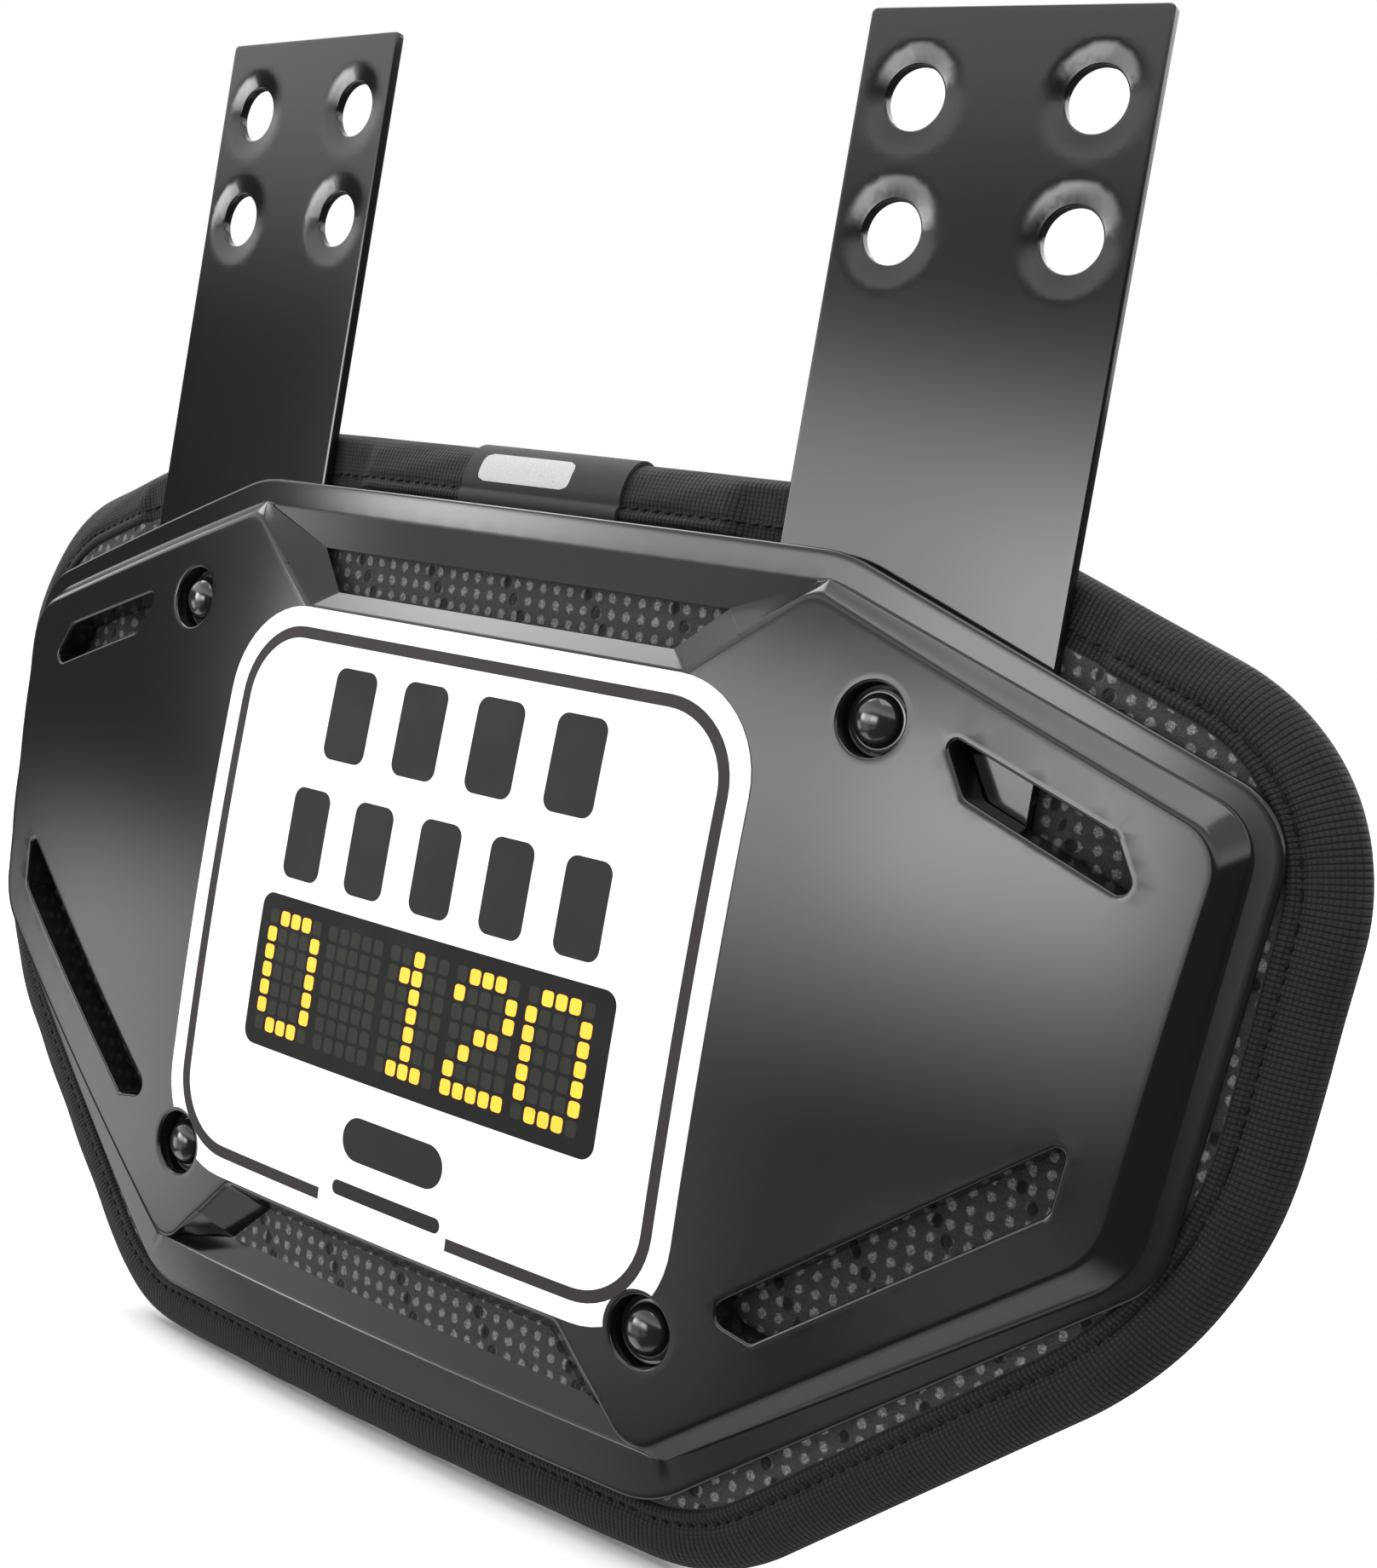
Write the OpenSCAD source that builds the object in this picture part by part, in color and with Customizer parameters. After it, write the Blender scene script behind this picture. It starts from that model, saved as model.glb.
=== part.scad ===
// Lower-back plate for football shoulder pads: a moulded shell over a quilted
// pad, hung from two flat straps that swivel on their upper posts.
// X runs across the wearer, -Y is the outer face and +Z is up. The origin is
// the middle of the pad's rear face, level with the middle of the four posts.

/* [Pad] */
// Thickness of the pad in its middle
pad_t = 12; // [11:0.5:14]
// Half width of the seam that holds the edge binding, at its widest corner
seam_half_w = 144; // [138:0.5:150]
// Height of that seam above the post centre, at the top edge
seam_top = 77; // [75:0.5:80]
// Height of that seam below the post centre, at the bottom edge
seam_bottom = 80; // [78:0.5:84]
// Width of the rolled binding outside its seam
binding_w = 7.6; // [6:0.1:9]
// Radius that the pad is bent to, round the wearer
pad_bend_r = 909; // [850:1:1000]

/* [Shell] */
// Thickness of the moulded skin
shell_t = 2.5; // [2:0.1:2.5]
// Radius of the domed face
dome_r = 850; // [800:10:900]
// How far the middle of the face stands in front of the pad
face_lift = 8.4; // [8:0.1:9]
// Thickness of the flat lip round the face
lip_t = 1.5; // [1.2:0.1:1.5]
// Depth of the stiffening collar round each vent slot
collar_depth = 6; // [4:0.1:6.2]

/* [Posts] */
// Sideways position of the upper posts, which the straps swivel on
upper_post_x = 77.5; // [76:0.5:79]
// Sideways position of the lower posts
lower_post_x = 56; // [54:0.5:58]
// Height of the upper posts above the origin, and of the lower ones below it
post_z = 50; // [49:0.5:51]
// Radius of the cup that each post's head sits in
cup_r = 5.7; // [5.4:0.1:6]
// Depth of that cup below the face
cup_depth = 3.5; // [3:0.1:3.6]
// Radius of the post's barrel
barrel_r = 3; // [2.8:0.1:3]

/* [Straps] */
// Width of a strap
strap_w = 50; // [44:1:50]
// Length of a strap
strap_l = 121.8; // [115:0.1:130]
// Thickness of a strap
strap_t = 1.8; // [1.6:0.1:2.4]
// How far a strap reaches below its post
strap_tail = 14; // [12:0.5:14]
// Angle that a strap is turned to follow the shell
strap_yaw = 4.5; // [4:0.1:5]
// Angle that a strap can swing each way
strap_swing = 15; // [5:1:15]
// Height of the mounting holes' centre above the origin
hole_z = 133.8; // [128:0.1:136]
// Sideways distance between the mounting holes
hole_dx = 30; // [26:0.5:30]
// Upright distance between the mounting holes
hole_dz = 20.5; // [18:0.5:22]
// Radius of a mounting hole
hole_r = 5; // [4:0.1:5.2]

/* [Sign] */
// Width of the printed film
sign_w = 120; // [110:1:121]
// Height of the printed film
sign_h = 104.6; // [100:0.1:105]

/* [Hidden] */

far = 400;                  // beyond the object on every side
fine = 720;                 // facets of the large bends
round_fn = 96;              // facets of posts, holes and washers
arc_steps = 8;              // steps in a rounded corner of an outline
lip_bend_r = 806;           // bend of the lip
lip_drop = 5;               // front of the lip behind the crown of the face
tray_drop = 6.4;            // front of the window trays behind the crown
tray_t = 1.2;               // thickness of the window trays
wall_t = 2;                 // thickness of the shell's upright walls
collar_t = 1.4;             // thickness of the slot collars
cup_wall = 1.7;             // wall of a post cup
cup_floor = 2;              // floor of a post cup
film_t = 0.3;               // printed film
washer_t = 1.2;             // friction washer between shell and strap
mesh_t = 0.8;               // mesh fabric
front_foam_t = 5;           // foam in front of the carrier plate
carrier_t = 1.2;            // carrier plate
rear_foam_t = 1.2;          // foam sheet that carries the pods
liner_t = 0.8;              // rear liner
carrier_margin = 14;        // carrier plate's edge inside the seam
seat_gap = 0.1;             // between flat ends and the bent carrier plate
run_gap = 0.05;             // radial clearance of the strap on its post
drill_gap = 0.1;            // radial clearance of the fixed pieces on the post
soft_gap = 0.3;             // between a strap and the pad
hem_w = 2.2;                // binding inside its seam
screw_r = 1.6;              // screw shank
dimple_r = 8.2;             // rim of the dished ring round a mounting hole
dimple_depth = 0.5;         // depth of that ring

crown_y = -pad_t - face_lift;
lip_y = crown_y + lip_drop;
carrier_y = -pad_t + mesh_t + front_foam_t;
pod_t = pad_t - mesh_t - front_foam_t - carrier_t - rear_foam_t - liner_t;

// ---- outlines, as seen from the front: right half from bottom to top ----
rim_half = [[61, -77.2], [134, -20.5], [141, 47.4], [66.4, 74.4]];
rim_corner = [18, 12, 12, 25];
face_half = [[40, -53.3], [57, -70], [127.2, -18], [134, 42.1], [63.5, 68], [43.6, 52.1]];
face_corner = [3, 6, 14, 8, 5, 3];
crease_half = [[63, -69.4], [130.3, -20.5], [136.3, 45], [66, 69.7]];
crease_corner = [6, 15, 10, 6];
top_window_half = [[38.8, 55.4], [46.6, 63.1]];
low_window_half = [[43.2, -64.9], [34.5, -57]];
upper_slot = [[89.6, 50.3], [95, 41.2], [123.8, 30.8], [118.4, 40.2]];
lower_slot = [[120.3, -2.8], [66.3, -43.8], [76.1, -45.7], [119.1, -13.7]];
slot_corner = [1.2, 2.2, 1.6, 2.6];
seam_half = [[68.7, -seam_bottom], [seam_half_w - 6, -22], [seam_half_w, 52.6], [seam_half_w - 67, seam_top]];
seam_corner = [28, 60, 28, 60];

// ---- plane geometry ----
function unit(v) = v / norm(v);
function mirrored(half) = concat(half, [for (i = [len(half) - 1:-1:0]) [-half[i].x, half[i].y]]);
function twice(r) = concat(r, [for (i = [len(r) - 1:-1:0]) r[i]]);
function left_of(v) = [-v.y, v.x];

// Moves every edge of a counter-clockwise outline inwards by d
function inset(p, d) = [
    for (i = [0:len(p) - 1])
        let (
            n1 = left_of(unit(p[i] - p[(i + len(p) - 1) % len(p)])),
            n2 = left_of(unit(p[(i + 1) % len(p)] - p[i]))
        )
        p[i] + d * (n1 + n2) / (1 + n1 * n2)
];

// The arc that rounds corner p between its neighbours a and b
function corner_arc(a, p, b, r) =
    let (
        u = unit(a - p), v = unit(b - p), half = acos(u * v) / 2,
        c = p + unit(u + v) * r / sin(half),
        s = p + u * r / tan(half) - c, e = p + v * r / tan(half) - c,
        start = atan2(s.y, s.x), turn = atan2(s.x * e.y - s.y * e.x, s * e)
    )
    [for (i = [0:arc_steps]) c + r * [cos(start + turn * i / arc_steps), sin(start + turn * i / arc_steps)]];

function rounded(p, r) = [
    for (i = [0:len(p) - 1])
        each corner_arc(p[(i + len(p) - 1) % len(p)], p[i], p[(i + 1) % len(p)], r[i])
];

function all_of(p, r) = [for (q = p) r];
function bend(x, r) = r - sqrt(r * r - x * x);
function pad_r(y) = pad_bend_r - pad_t - y;
function carrier_at(x) = carrier_y + bend(x, pad_r(carrier_y));
function face_y(x, z) = crown_y + bend(norm([x, z]), dome_r);
function seam(d) = rounded(inset(mirrored(seam_half), d), [for (r = twice(seam_corner)) max(r - d, 1)]);

// ---- solids made from outlines ----
module along_y(y0, y1) {
    translate([0, y1, 0]) rotate([90, 0, 0]) linear_extrude(y1 - y0) children();
}

// A sheet of thickness t, bent about an upright axis, with its front at y
module bent_sheet(y, t, r) {
    intersection() {
        along_y(-far / 4, far / 4) children();
        translate([0, y + r, -far / 2]) difference() {
            cylinder(r = r, h = far, $fn = fine);
            translate([0, 0, -1]) cylinder(r = r - t, h = far + 2, $fn = fine);
        }
    }
}

// One layer of the pad: all layers share the same bend centre
module pad_sheet(y, t) {
    bent_sheet(y, t, pad_r(y)) children();
}

// A domed sheet of thickness t, with its front y in front of the shell's face
module domed_sheet(y, t) {
    intersection() {
        along_y(crown_y - 1 - y, 5) children();
        translate([0, crown_y + dome_r, 0]) difference() {
            sphere(r = dome_r + y, $fn = fine / 2);
            sphere(r = dome_r + y - t, $fn = fine / 2);
        }
    }
}

module behind_face() {
    translate([0, crown_y + dome_r, 0]) sphere(r = dome_r - shell_t / 2, $fn = fine / 2);
}

// ---- posts ----
// Places its children on a post's axis, with local +Z pointing at the wearer
// and local zero on the floor of the post's cup. side is 1 or -1.
module at_upper(side) {
    translate([side * upper_post_x, face_y(upper_post_x, post_z) + cup_depth, post_z])
        rotate([0, 0, side * strap_yaw]) rotate([-90, 0, 0]) children();
}

module at_lower(side) {
    translate([side * lower_post_x, face_y(lower_post_x, post_z) + cup_depth, -post_z])
        rotate([0, 0, side * strap_yaw * lower_post_x / upper_post_x]) rotate([-90, 0, 0]) children();
}

strap_depth = cup_floor + washer_t;
upper_carrier = carrier_at(upper_post_x) - face_y(upper_post_x, post_z) - cup_depth;
lower_carrier = carrier_at(lower_post_x) - face_y(lower_post_x, post_z) - cup_depth;

module ring(z0, z1, outer, inner) {
    translate([0, 0, z0]) difference() {
        cylinder(r = outer, h = z1 - z0, $fn = round_fn);
        translate([0, 0, -1]) cylinder(r = inner, h = z1 - z0 + 2, $fn = round_fn);
    }
}

// Dome-headed barrel post, threaded inside from its rear end
module post(carrier) {
    head_r = 4.9;
    flange_t = 0.9;
    dome_base = 4.1;
    dome_h = 2.7;
    dome_ball = (dome_base * dome_base + dome_h * dome_h) / (2 * dome_h);
    color("#2a2b2d") difference() {
        union() {
            translate([0, 0, -flange_t]) cylinder(r = head_r, h = flange_t, $fn = round_fn);
            intersection() {
                translate([0, 0, -flange_t - dome_h]) cylinder(r = dome_base, h = dome_h, $fn = round_fn);
                translate([0, 0, -flange_t - dome_h + dome_ball]) sphere(r = dome_ball, $fn = round_fn);
            }
            cylinder(r = barrel_r, h = carrier - seat_gap, $fn = round_fn);
        }
        translate([0, 0, 0.8]) cylinder(r = screw_r + run_gap, h = carrier, $fn = round_fn);
    }
}

// Truss-head screw that pulls the carrier plate onto the post
module screw(carrier) {
    seat = carrier + carrier_t + seat_gap;
    head_r = 4.6;
    head_t = 1.5;
    slot_w = 1.1;
    slot_l = 5;
    color("#8d9094") difference() {
        union() {
            translate([0, 0, seat]) cylinder(r1 = head_r, r2 = head_r - 1.2, h = head_t, $fn = round_fn);
            translate([0, 0, 2]) cylinder(r = screw_r, h = seat - 1.9, $fn = round_fn);
        }
        for (turn = [0, 90])
            rotate([0, 0, turn + 45]) translate([-slot_l / 2, -slot_w / 2, seat + 0.5]) cube([slot_l, slot_w, 3]);
    }
}

module friction_washer() {
    color("#c9c7c0") ring(cup_floor, strap_depth - run_gap, 8, barrel_r + drill_gap);
}

module strap_bush() {
    color("#3a3b3d") ring(strap_depth + strap_t + run_gap, upper_carrier - seat_gap, 6, barrel_r + drill_gap);
}

module spacer() {
    color("#3a3b3d") ring(cup_floor, lower_carrier - seat_gap, 5, barrel_r + drill_gap);
}

// ---- straps ----
module strap(side) {
    color("#38393b") difference() {
        union() {
            at_upper(side) translate([-strap_w / 2, strap_tail - strap_l, strap_depth]) cube([strap_w, strap_l, strap_t]);
            at_holes(side, strap_depth + strap_t - 0.01)
                cylinder(r1 = dimple_r, r2 = dimple_r - 2.2, h = dimple_depth, $fn = round_fn);
        }
        at_upper(side) cylinder(r = barrel_r + run_gap, h = 20, $fn = round_fn);
        at_holes(side, strap_depth - 0.01)
            cylinder(r1 = dimple_r - 0.8, r2 = hole_r + 0.2, h = dimple_depth, $fn = round_fn);
        // the four holes of both straps are parallel, square to the wearer's back
        for (i = [-1, 1], j = [-1, 1])
            translate([side * hole_x + i * hole_dx / 2, far / 4, hole_z + j * hole_dz / 2])
                rotate([90, 0, 0]) cylinder(r = hole_r, h = far / 2, $fn = round_fn);
    }
}

// Middle of the hole pattern: the strap's own middle, half way through the dished wall
hole_x = upper_post_x - sin(strap_yaw) * (strap_depth + strap_t / 2 + dimple_depth);

module at_holes(side, depth) {
    for (i = [-1, 1], j = [-1, 1])
        at_upper(side) translate([i * hole_dx / 2 / cos(strap_yaw), post_z - hole_z - j * hole_dz / 2, depth]) children();
}

// Everything a swinging strap passes through, and all that lies in front of it
module strap_room(side) {
    reach = norm([strap_w / 2, strap_tail]) + 2 * soft_gap;
    start = (strap_w / 2 + 2 * soft_gap) / cos(strap_swing);
    rise = seam_top + 2 * binding_w - post_z;
    at_upper(side) translate([0, 0, -far / 8]) linear_extrude(far / 8 + strap_depth + strap_t + soft_gap) {
        circle(r = reach, $fn = round_fn);
        polygon([[-start, 0], [start, 0], [start + rise * tan(strap_swing), -rise], [-start - rise * tan(strap_swing), -rise]]);
    }
}

// ---- shell ----
module pocket_outline(half) {
    polygon(rounded(mirrored(half), all_of(mirrored(half), 1.2)));
}

module slot_outline(slot, grow) {
    polygon(rounded(inset(slot, -grow), [for (r = slot_corner) r + grow]));
}

module slots(grow) {
    for (slot = [upper_slot, lower_slot]) {
        slot_outline(slot, grow);
        mirror([1, 0]) slot_outline(slot, grow);
    }
}

module rim_outline() {
    polygon(rounded(mirrored(rim_half), twice(rim_corner)));
}

module face_outline(d) {
    polygon(rounded(inset(mirrored(face_half), d), twice(face_corner)));
}

module crease_outline() {
    polygon(rounded(mirrored(crease_half), twice(crease_corner)));
}

// The wall that joins the face to the lip, and to the window trays between the posts
module shell_wall() {
    intersection() {
        behind_face();
        along_y(crown_y, crown_y + 30) difference() {
            face_outline(0);
            face_outline(wall_t);
        }
        union() {
            in_front_of(lip_y + lip_t);
            intersection() {
                in_front_of(lip_y - lip_drop + tray_drop + tray_t);
                between_posts();
            }
        }
    }
}

// The middle part of the shell, which has the two window trays
module between_posts() {
    half_w = crease_half[0].x;
    translate([-half_w, -far / 2, -far / 2]) cube([2 * half_w, far, far]);
}

// All that lies in front of a surface that is bent as the lip is
module in_front_of(y) {
    translate([0, lip_y + lip_bend_r, -far / 2]) difference() {
        translate([-far / 2, -far - lip_bend_r, 0]) cube([far, far + lip_bend_r, far]);
        cylinder(r = lip_bend_r - y + lip_y, h = far, $fn = fine);
    }
}

module slot_collars() {
    intersection() {
        behind_face();
        domed_sheet(-0.5, collar_depth - 0.5) difference() {
            slots(collar_t);
            slots(0);
        }
    }
}

module cup_body() {
    translate([0, 0, -cup_depth + shell_t / 2]) cylinder(r = cup_r + cup_wall, h = cup_depth + cup_floor - shell_t / 2, $fn = round_fn);
}

module cup_bore() {
    translate([0, 0, -far / 8]) cylinder(r = cup_r, h = far / 8, $fn = round_fn);
    translate([0, 0, -1]) cylinder(r = barrel_r + drill_gap, h = cup_floor + 2, $fn = round_fn);
}

module front_shell() {
    color("#3c3d40") difference() {
        union() {
            domed_sheet(0, shell_t) face_outline(0);
            bent_sheet(lip_y, lip_t, lip_bend_r) difference() {
                rim_outline();
                face_outline(wall_t);
            }
            intersection() {
                bent_sheet(lip_y + tray_drop - lip_drop, tray_t, lip_bend_r - tray_drop + lip_drop) difference() {
                    crease_outline();
                    face_outline(wall_t);
                }
                between_posts();
            }
            shell_wall();
            slot_collars();
            for (side = [-1, 1]) {
                at_upper(side) cup_body();
                at_lower(side) cup_body();
            }
        }
        along_y(-far / 4, far / 4) {
            pocket_outline(top_window_half);
            pocket_outline(low_window_half);
            slots(0);
        }
        for (side = [-1, 1]) {
            at_upper(side) cup_bore();
            at_lower(side) cup_bore();
        }
    }
}

module sign_film() {
    sign_mid = -0.3;
    sign_corner = 17;
    corners = [[-1, -1], [1, -1], [1, 1], [-1, 1]];
    frame = [for (c = corners) [c.x * sign_w / 2, sign_mid + c.y * sign_h / 2]];
    color("#f2f2f2") difference() {
        domed_sheet(film_t, film_t) difference() {
            intersection() {
                polygon(rounded(frame, all_of(frame, sign_corner)));
                face_outline(0.2);
            }
            for (i = [-1, 1]) translate([i * lower_post_x, -post_z]) circle(r = cup_r + 0.3, $fn = round_fn);
        }
    }
}

// ---- pad ----
module core_outline() {
    polygon(seam(hem_w));
}

module post_holes(upper_r, lower_r) {
    for (side = [-1, 1]) {
        at_upper(side) translate([0, 0, -20]) cylinder(r = upper_r, h = 60, $fn = round_fn);
        at_lower(side) translate([0, 0, -20]) cylinder(r = lower_r, h = 60, $fn = round_fn);
    }
}

module pad_layer(y, t, upper_hole, lower_hole) {
    difference() {
        pad_sheet(y, t) core_outline();
        strap_room(1);
        strap_room(-1);
        post_holes(upper_hole, lower_hole);
    }
}

module mesh_face() {
    color("#4a4c50") pad_layer(-pad_t, mesh_t, 7, 6);
}

module front_foam() {
    color("#5a5c60") pad_layer(-pad_t + mesh_t, front_foam_t, 7, 6);
}

module carrier_plate() {
    color("#d8d8d2") difference() {
        pad_sheet(carrier_y, carrier_t) polygon(seam(carrier_margin));
        post_holes(screw_r + drill_gap, screw_r + drill_gap);
    }
}

// The rear foam wraps the carrier plate's edge, so it fills the layer round it
module rear_foam() {
    color("#5a5c60") difference() {
        union() {
            pad_sheet(carrier_y + carrier_t, rear_foam_t) core_outline();
            pad_sheet(carrier_y, carrier_t + 0.1) difference() {
                core_outline();
                polygon(seam(carrier_margin));
            }
        }
        post_holes(8, 8);
    }
}

module hex_grid(across, gap, inside) {
    pitch = across + gap;
    for (row = [-6:6], col = [-10:10]) {
        x = pitch * (col + (abs(row) % 2) / 2);
        z = row * pitch * sqrt(3) / 2 - 1.5;
        if (inside(x, z)) translate([x, z]) rotate(30) circle(r = across / sqrt(3), $fn = 6);
    }
}

module hex_pods() {
    across = 15;
    gap = 2.5;
    margin = 12;
    clear = 9 + across / sqrt(3);
    limit = inset(mirrored(seam_half), margin);
    within = function (x, z) min([
        for (i = [0:len(limit) - 1])
            let (a = limit[i], b = limit[(i + 1) % len(limit)])
            left_of(unit(b - a)) * ([x, z] - a)
    ]) > 0;
    apart = function (x, z) min(
        norm([abs(x) - upper_post_x, z - post_z]),
        norm([abs(x) - lower_post_x, z + post_z])
    ) > clear;
    color("#6a6c70") pad_sheet(carrier_y + carrier_t + rear_foam_t, pod_t)
        intersection() {
            hex_grid(across, gap, function (x, z) within(x, z) && apart(x, z));
            offset(delta = -0.6) core_outline();
        }
}

module rear_liner() {
    color("#26272a") difference() {
        pad_sheet(-liner_t, liner_t) core_outline();
        post_holes(6, 6);
    }
}

// Rolled edge: each step is [inset from the outer edge, front, rear]
module edge_binding() {
    front = -pad_t - 0.3;
    steps = [[0, 2.8, 7.6], [0.9, 1.2, 9.2], [2.8, 0, 10.4]];
    color("#1f2022") difference() {
        for (s = steps)
            pad_sheet(front + s[1], s[2] - s[1]) difference() {
                polygon(seam(s[0] - binding_w));
                core_outline();
            }
        strap_room(1);
        strap_room(-1);
    }
}

// A short woven tab folded over the binding
module label_tab() {
    tab_w = 36;
    tab_x = 2;
    leaf_t = 0.5;
    bottom = seam_top - hem_w + 0.3;
    top = seam_top + binding_w;
    color("#303234") difference() {
        pad_sheet(-pad_t - 0.35 - leaf_t, 10.5 + 2 * leaf_t)
            translate([tab_x - tab_w / 2, bottom]) square([tab_w, top + leaf_t + 0.05 - bottom]);
        pad_sheet(-pad_t - 0.35, 10.5)
            translate([tab_x - tab_w, bottom - 1]) square([2 * tab_w, top + 0.05 - bottom + 1]);
    }
}

module left_strap() { strap(-1); }
module right_strap() { strap(1); }
module upper_left_post() { at_upper(-1) post(upper_carrier); }
module upper_right_post() { at_upper(1) post(upper_carrier); }
module lower_left_post() { at_lower(-1) post(lower_carrier); }
module lower_right_post() { at_lower(1) post(lower_carrier); }
module upper_left_screw() { at_upper(-1) screw(upper_carrier); }
module upper_right_screw() { at_upper(1) screw(upper_carrier); }
module lower_left_screw() { at_lower(-1) screw(lower_carrier); }
module lower_right_screw() { at_lower(1) screw(lower_carrier); }
module left_friction_washer() { at_upper(-1) friction_washer(); }
module right_friction_washer() { at_upper(1) friction_washer(); }
module left_strap_bush() { at_upper(-1) strap_bush(); }
module right_strap_bush() { at_upper(1) strap_bush(); }
module lower_left_spacer() { at_lower(-1) spacer(); }
module lower_right_spacer() { at_lower(1) spacer(); }

front_shell();
sign_film();
left_strap();
right_strap();
upper_left_post();
upper_right_post();
lower_left_post();
lower_right_post();
upper_left_screw();
upper_right_screw();
lower_left_screw();
lower_right_screw();
left_friction_washer();
right_friction_washer();
left_strap_bush();
right_strap_bush();
lower_left_spacer();
lower_right_spacer();
carrier_plate();
mesh_face();
front_foam();
rear_foam();
hex_pods();
rear_liner();
edge_binding();
label_tab();
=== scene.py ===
"""Looks of a football back plate: a domed vented shell with a printed film, over a quilted pad,
hung from two straps. Shapes are worked out in millimetres in the row's frame: X right, -Y out
of the printed face, +Z up. Blender objects are in metres."""

import math

import bmesh
import bpy
import numpy as np
from mathutils import Matrix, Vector
from mathutils.geometry import delaunay_2d_cdt


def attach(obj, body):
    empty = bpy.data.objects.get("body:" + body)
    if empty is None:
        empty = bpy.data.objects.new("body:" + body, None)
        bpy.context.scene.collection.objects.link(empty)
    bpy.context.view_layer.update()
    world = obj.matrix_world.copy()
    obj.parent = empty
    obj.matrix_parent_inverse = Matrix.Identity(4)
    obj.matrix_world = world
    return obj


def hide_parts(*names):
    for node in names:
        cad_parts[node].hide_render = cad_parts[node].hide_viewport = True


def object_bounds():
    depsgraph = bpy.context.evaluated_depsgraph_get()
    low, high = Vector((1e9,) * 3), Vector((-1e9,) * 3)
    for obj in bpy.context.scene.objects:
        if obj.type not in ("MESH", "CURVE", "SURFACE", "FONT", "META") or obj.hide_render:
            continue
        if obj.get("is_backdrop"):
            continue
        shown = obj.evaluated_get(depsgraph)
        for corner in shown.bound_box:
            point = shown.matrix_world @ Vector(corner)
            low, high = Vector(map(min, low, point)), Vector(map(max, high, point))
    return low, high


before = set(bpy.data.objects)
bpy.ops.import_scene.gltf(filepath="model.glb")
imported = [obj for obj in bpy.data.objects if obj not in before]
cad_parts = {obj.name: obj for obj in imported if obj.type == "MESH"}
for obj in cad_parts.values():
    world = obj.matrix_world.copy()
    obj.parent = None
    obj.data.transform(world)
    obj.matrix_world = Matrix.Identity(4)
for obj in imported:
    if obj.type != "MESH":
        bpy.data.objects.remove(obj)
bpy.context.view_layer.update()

MM = 0.001

# ---- driving dimensions, as in the CAD part, in millimetres ----
PAD_T = 12.0            # pad thickness
PAD_BEND = 909.0        # radius that the pad's front is bent to
CROWN = -20.4           # y of the middle of the shell's face
DOME_R = 850.0          # radius of the domed face
LIP = CROWN + 5         # y of the lip's front on the middle line
LIP_BEND = 806.0        # radius that the lip is bent to
LIP_T = 1.5
SKIN_T = 2.3
TRAY = -12.3            # y of the window edges on the middle line
TRAY_T = 1.0
CARRIER = 6.2           # carrier plate's front, behind the pad's front
FOAM_BACK = 7.4         # carrier plate's back, behind the pad's front
HEM = 2.2               # binding inside its seam
BINDING = 7.6           # binding outside its seam
UPPER_POST = (77.5, 50.0)
LOWER_POST = (56.0, -50.0)
STRAP_YAW = math.radians(4.5)
CUP_R = 5.7
CUP_WALL = 1.7
CUP_DEPTH = 3.5
CUP_FLOOR = 2.0         # thickness of the cup's floor
POST_BORE = 3.1         # radius of the hole in the cup's floor
COLLAR = 6.0            # slot collar's end behind the face
STRAP_DEPTH = 3.2       # strap's front behind the cup floor
STRAP_T = 1.8
STRAP_W = 50.0
STRAP_TAIL = 14.0
STRAP_LENGTH = 121.8
STRAP_SWING = math.radians(15)
HOLE_CENTRE_Z = 133.8
HOLE_DX, HOLE_DZ, HOLE_R = 30.0, 20.5, 5.0
DISH = 0.5              # depth of the dished ring round each hole
SIGN_W, SIGN_H, SIGN_Z = 120.0, 104.6, -0.3
FILM_T = 0.3

# Right halves of the outlines, from bottom to top, with a radius for each corner
RIM = [(61, -77.2, 18), (134, -20.5, 12), (141, 47.4, 12), (66.4, 74.4, 25)]
FACE = [(40, -53.3, 3), (47.5, -60.7, 0), (57, -70, 6), (127.2, -18, 13), (134, 42.1, 8),
        (63.5, 68, 5), (52.5, 59.2, 0), (43.6, 52.1, 3)]
CREASE = [(34.5, -57, 1), (43.2, -64.9, 1), (62, -69.6, 0), (130.3, -20.2, 14), (136.3, 45, 9),
          (64.5, 69.9, 0), (46.6, 63.1, 1), (38.8, 55.4, 1)]
UPPER_SLOT = [(89.6, 50.3, 1.2), (95, 41.2, 2.2), (123.8, 30.8, 1.6), (118.4, 40.2, 2.6)]
LOWER_SLOT = [(120.3, -2.8, 1.2), (66.3, -43.8, 2.2), (76.1, -45.7, 1.6), (119.1, -13.7, 2.6)]
SEAM = [(68.7, -80, 28), (138, -22, 60), (144, 52.6, 28), (77, 77, 60)]
SEAM_TOP = SEAM[-1][1]

# Parts of the crease: folds where the lip turns down to the windows, and the windows' ends
FOLD_LOW, FOLD_TOP = CREASE[2][:2], CREASE[5][:2]
WINDOW_LOW, WINDOW_TOP = CREASE[1][:2], CREASE[6][:2]
LEDGE_Z = CREASE[7][1]
WINDOW_X = 47.5         # the windows lie within this x
SIDE_X = 62.0           # the crease runs on the lip beyond this x
WINDOW_FORWARD = 1.9    # how far the upper window's edges stand before the others
LEDGE_FORWARD = 2.0     # how much further forward its lower ledge stands


# ---- plane geometry ----
def mirrored(half):
    return [tuple(p) for p in half] + [(-p[0],) + tuple(p[1:]) for p in reversed(half)]


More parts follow.
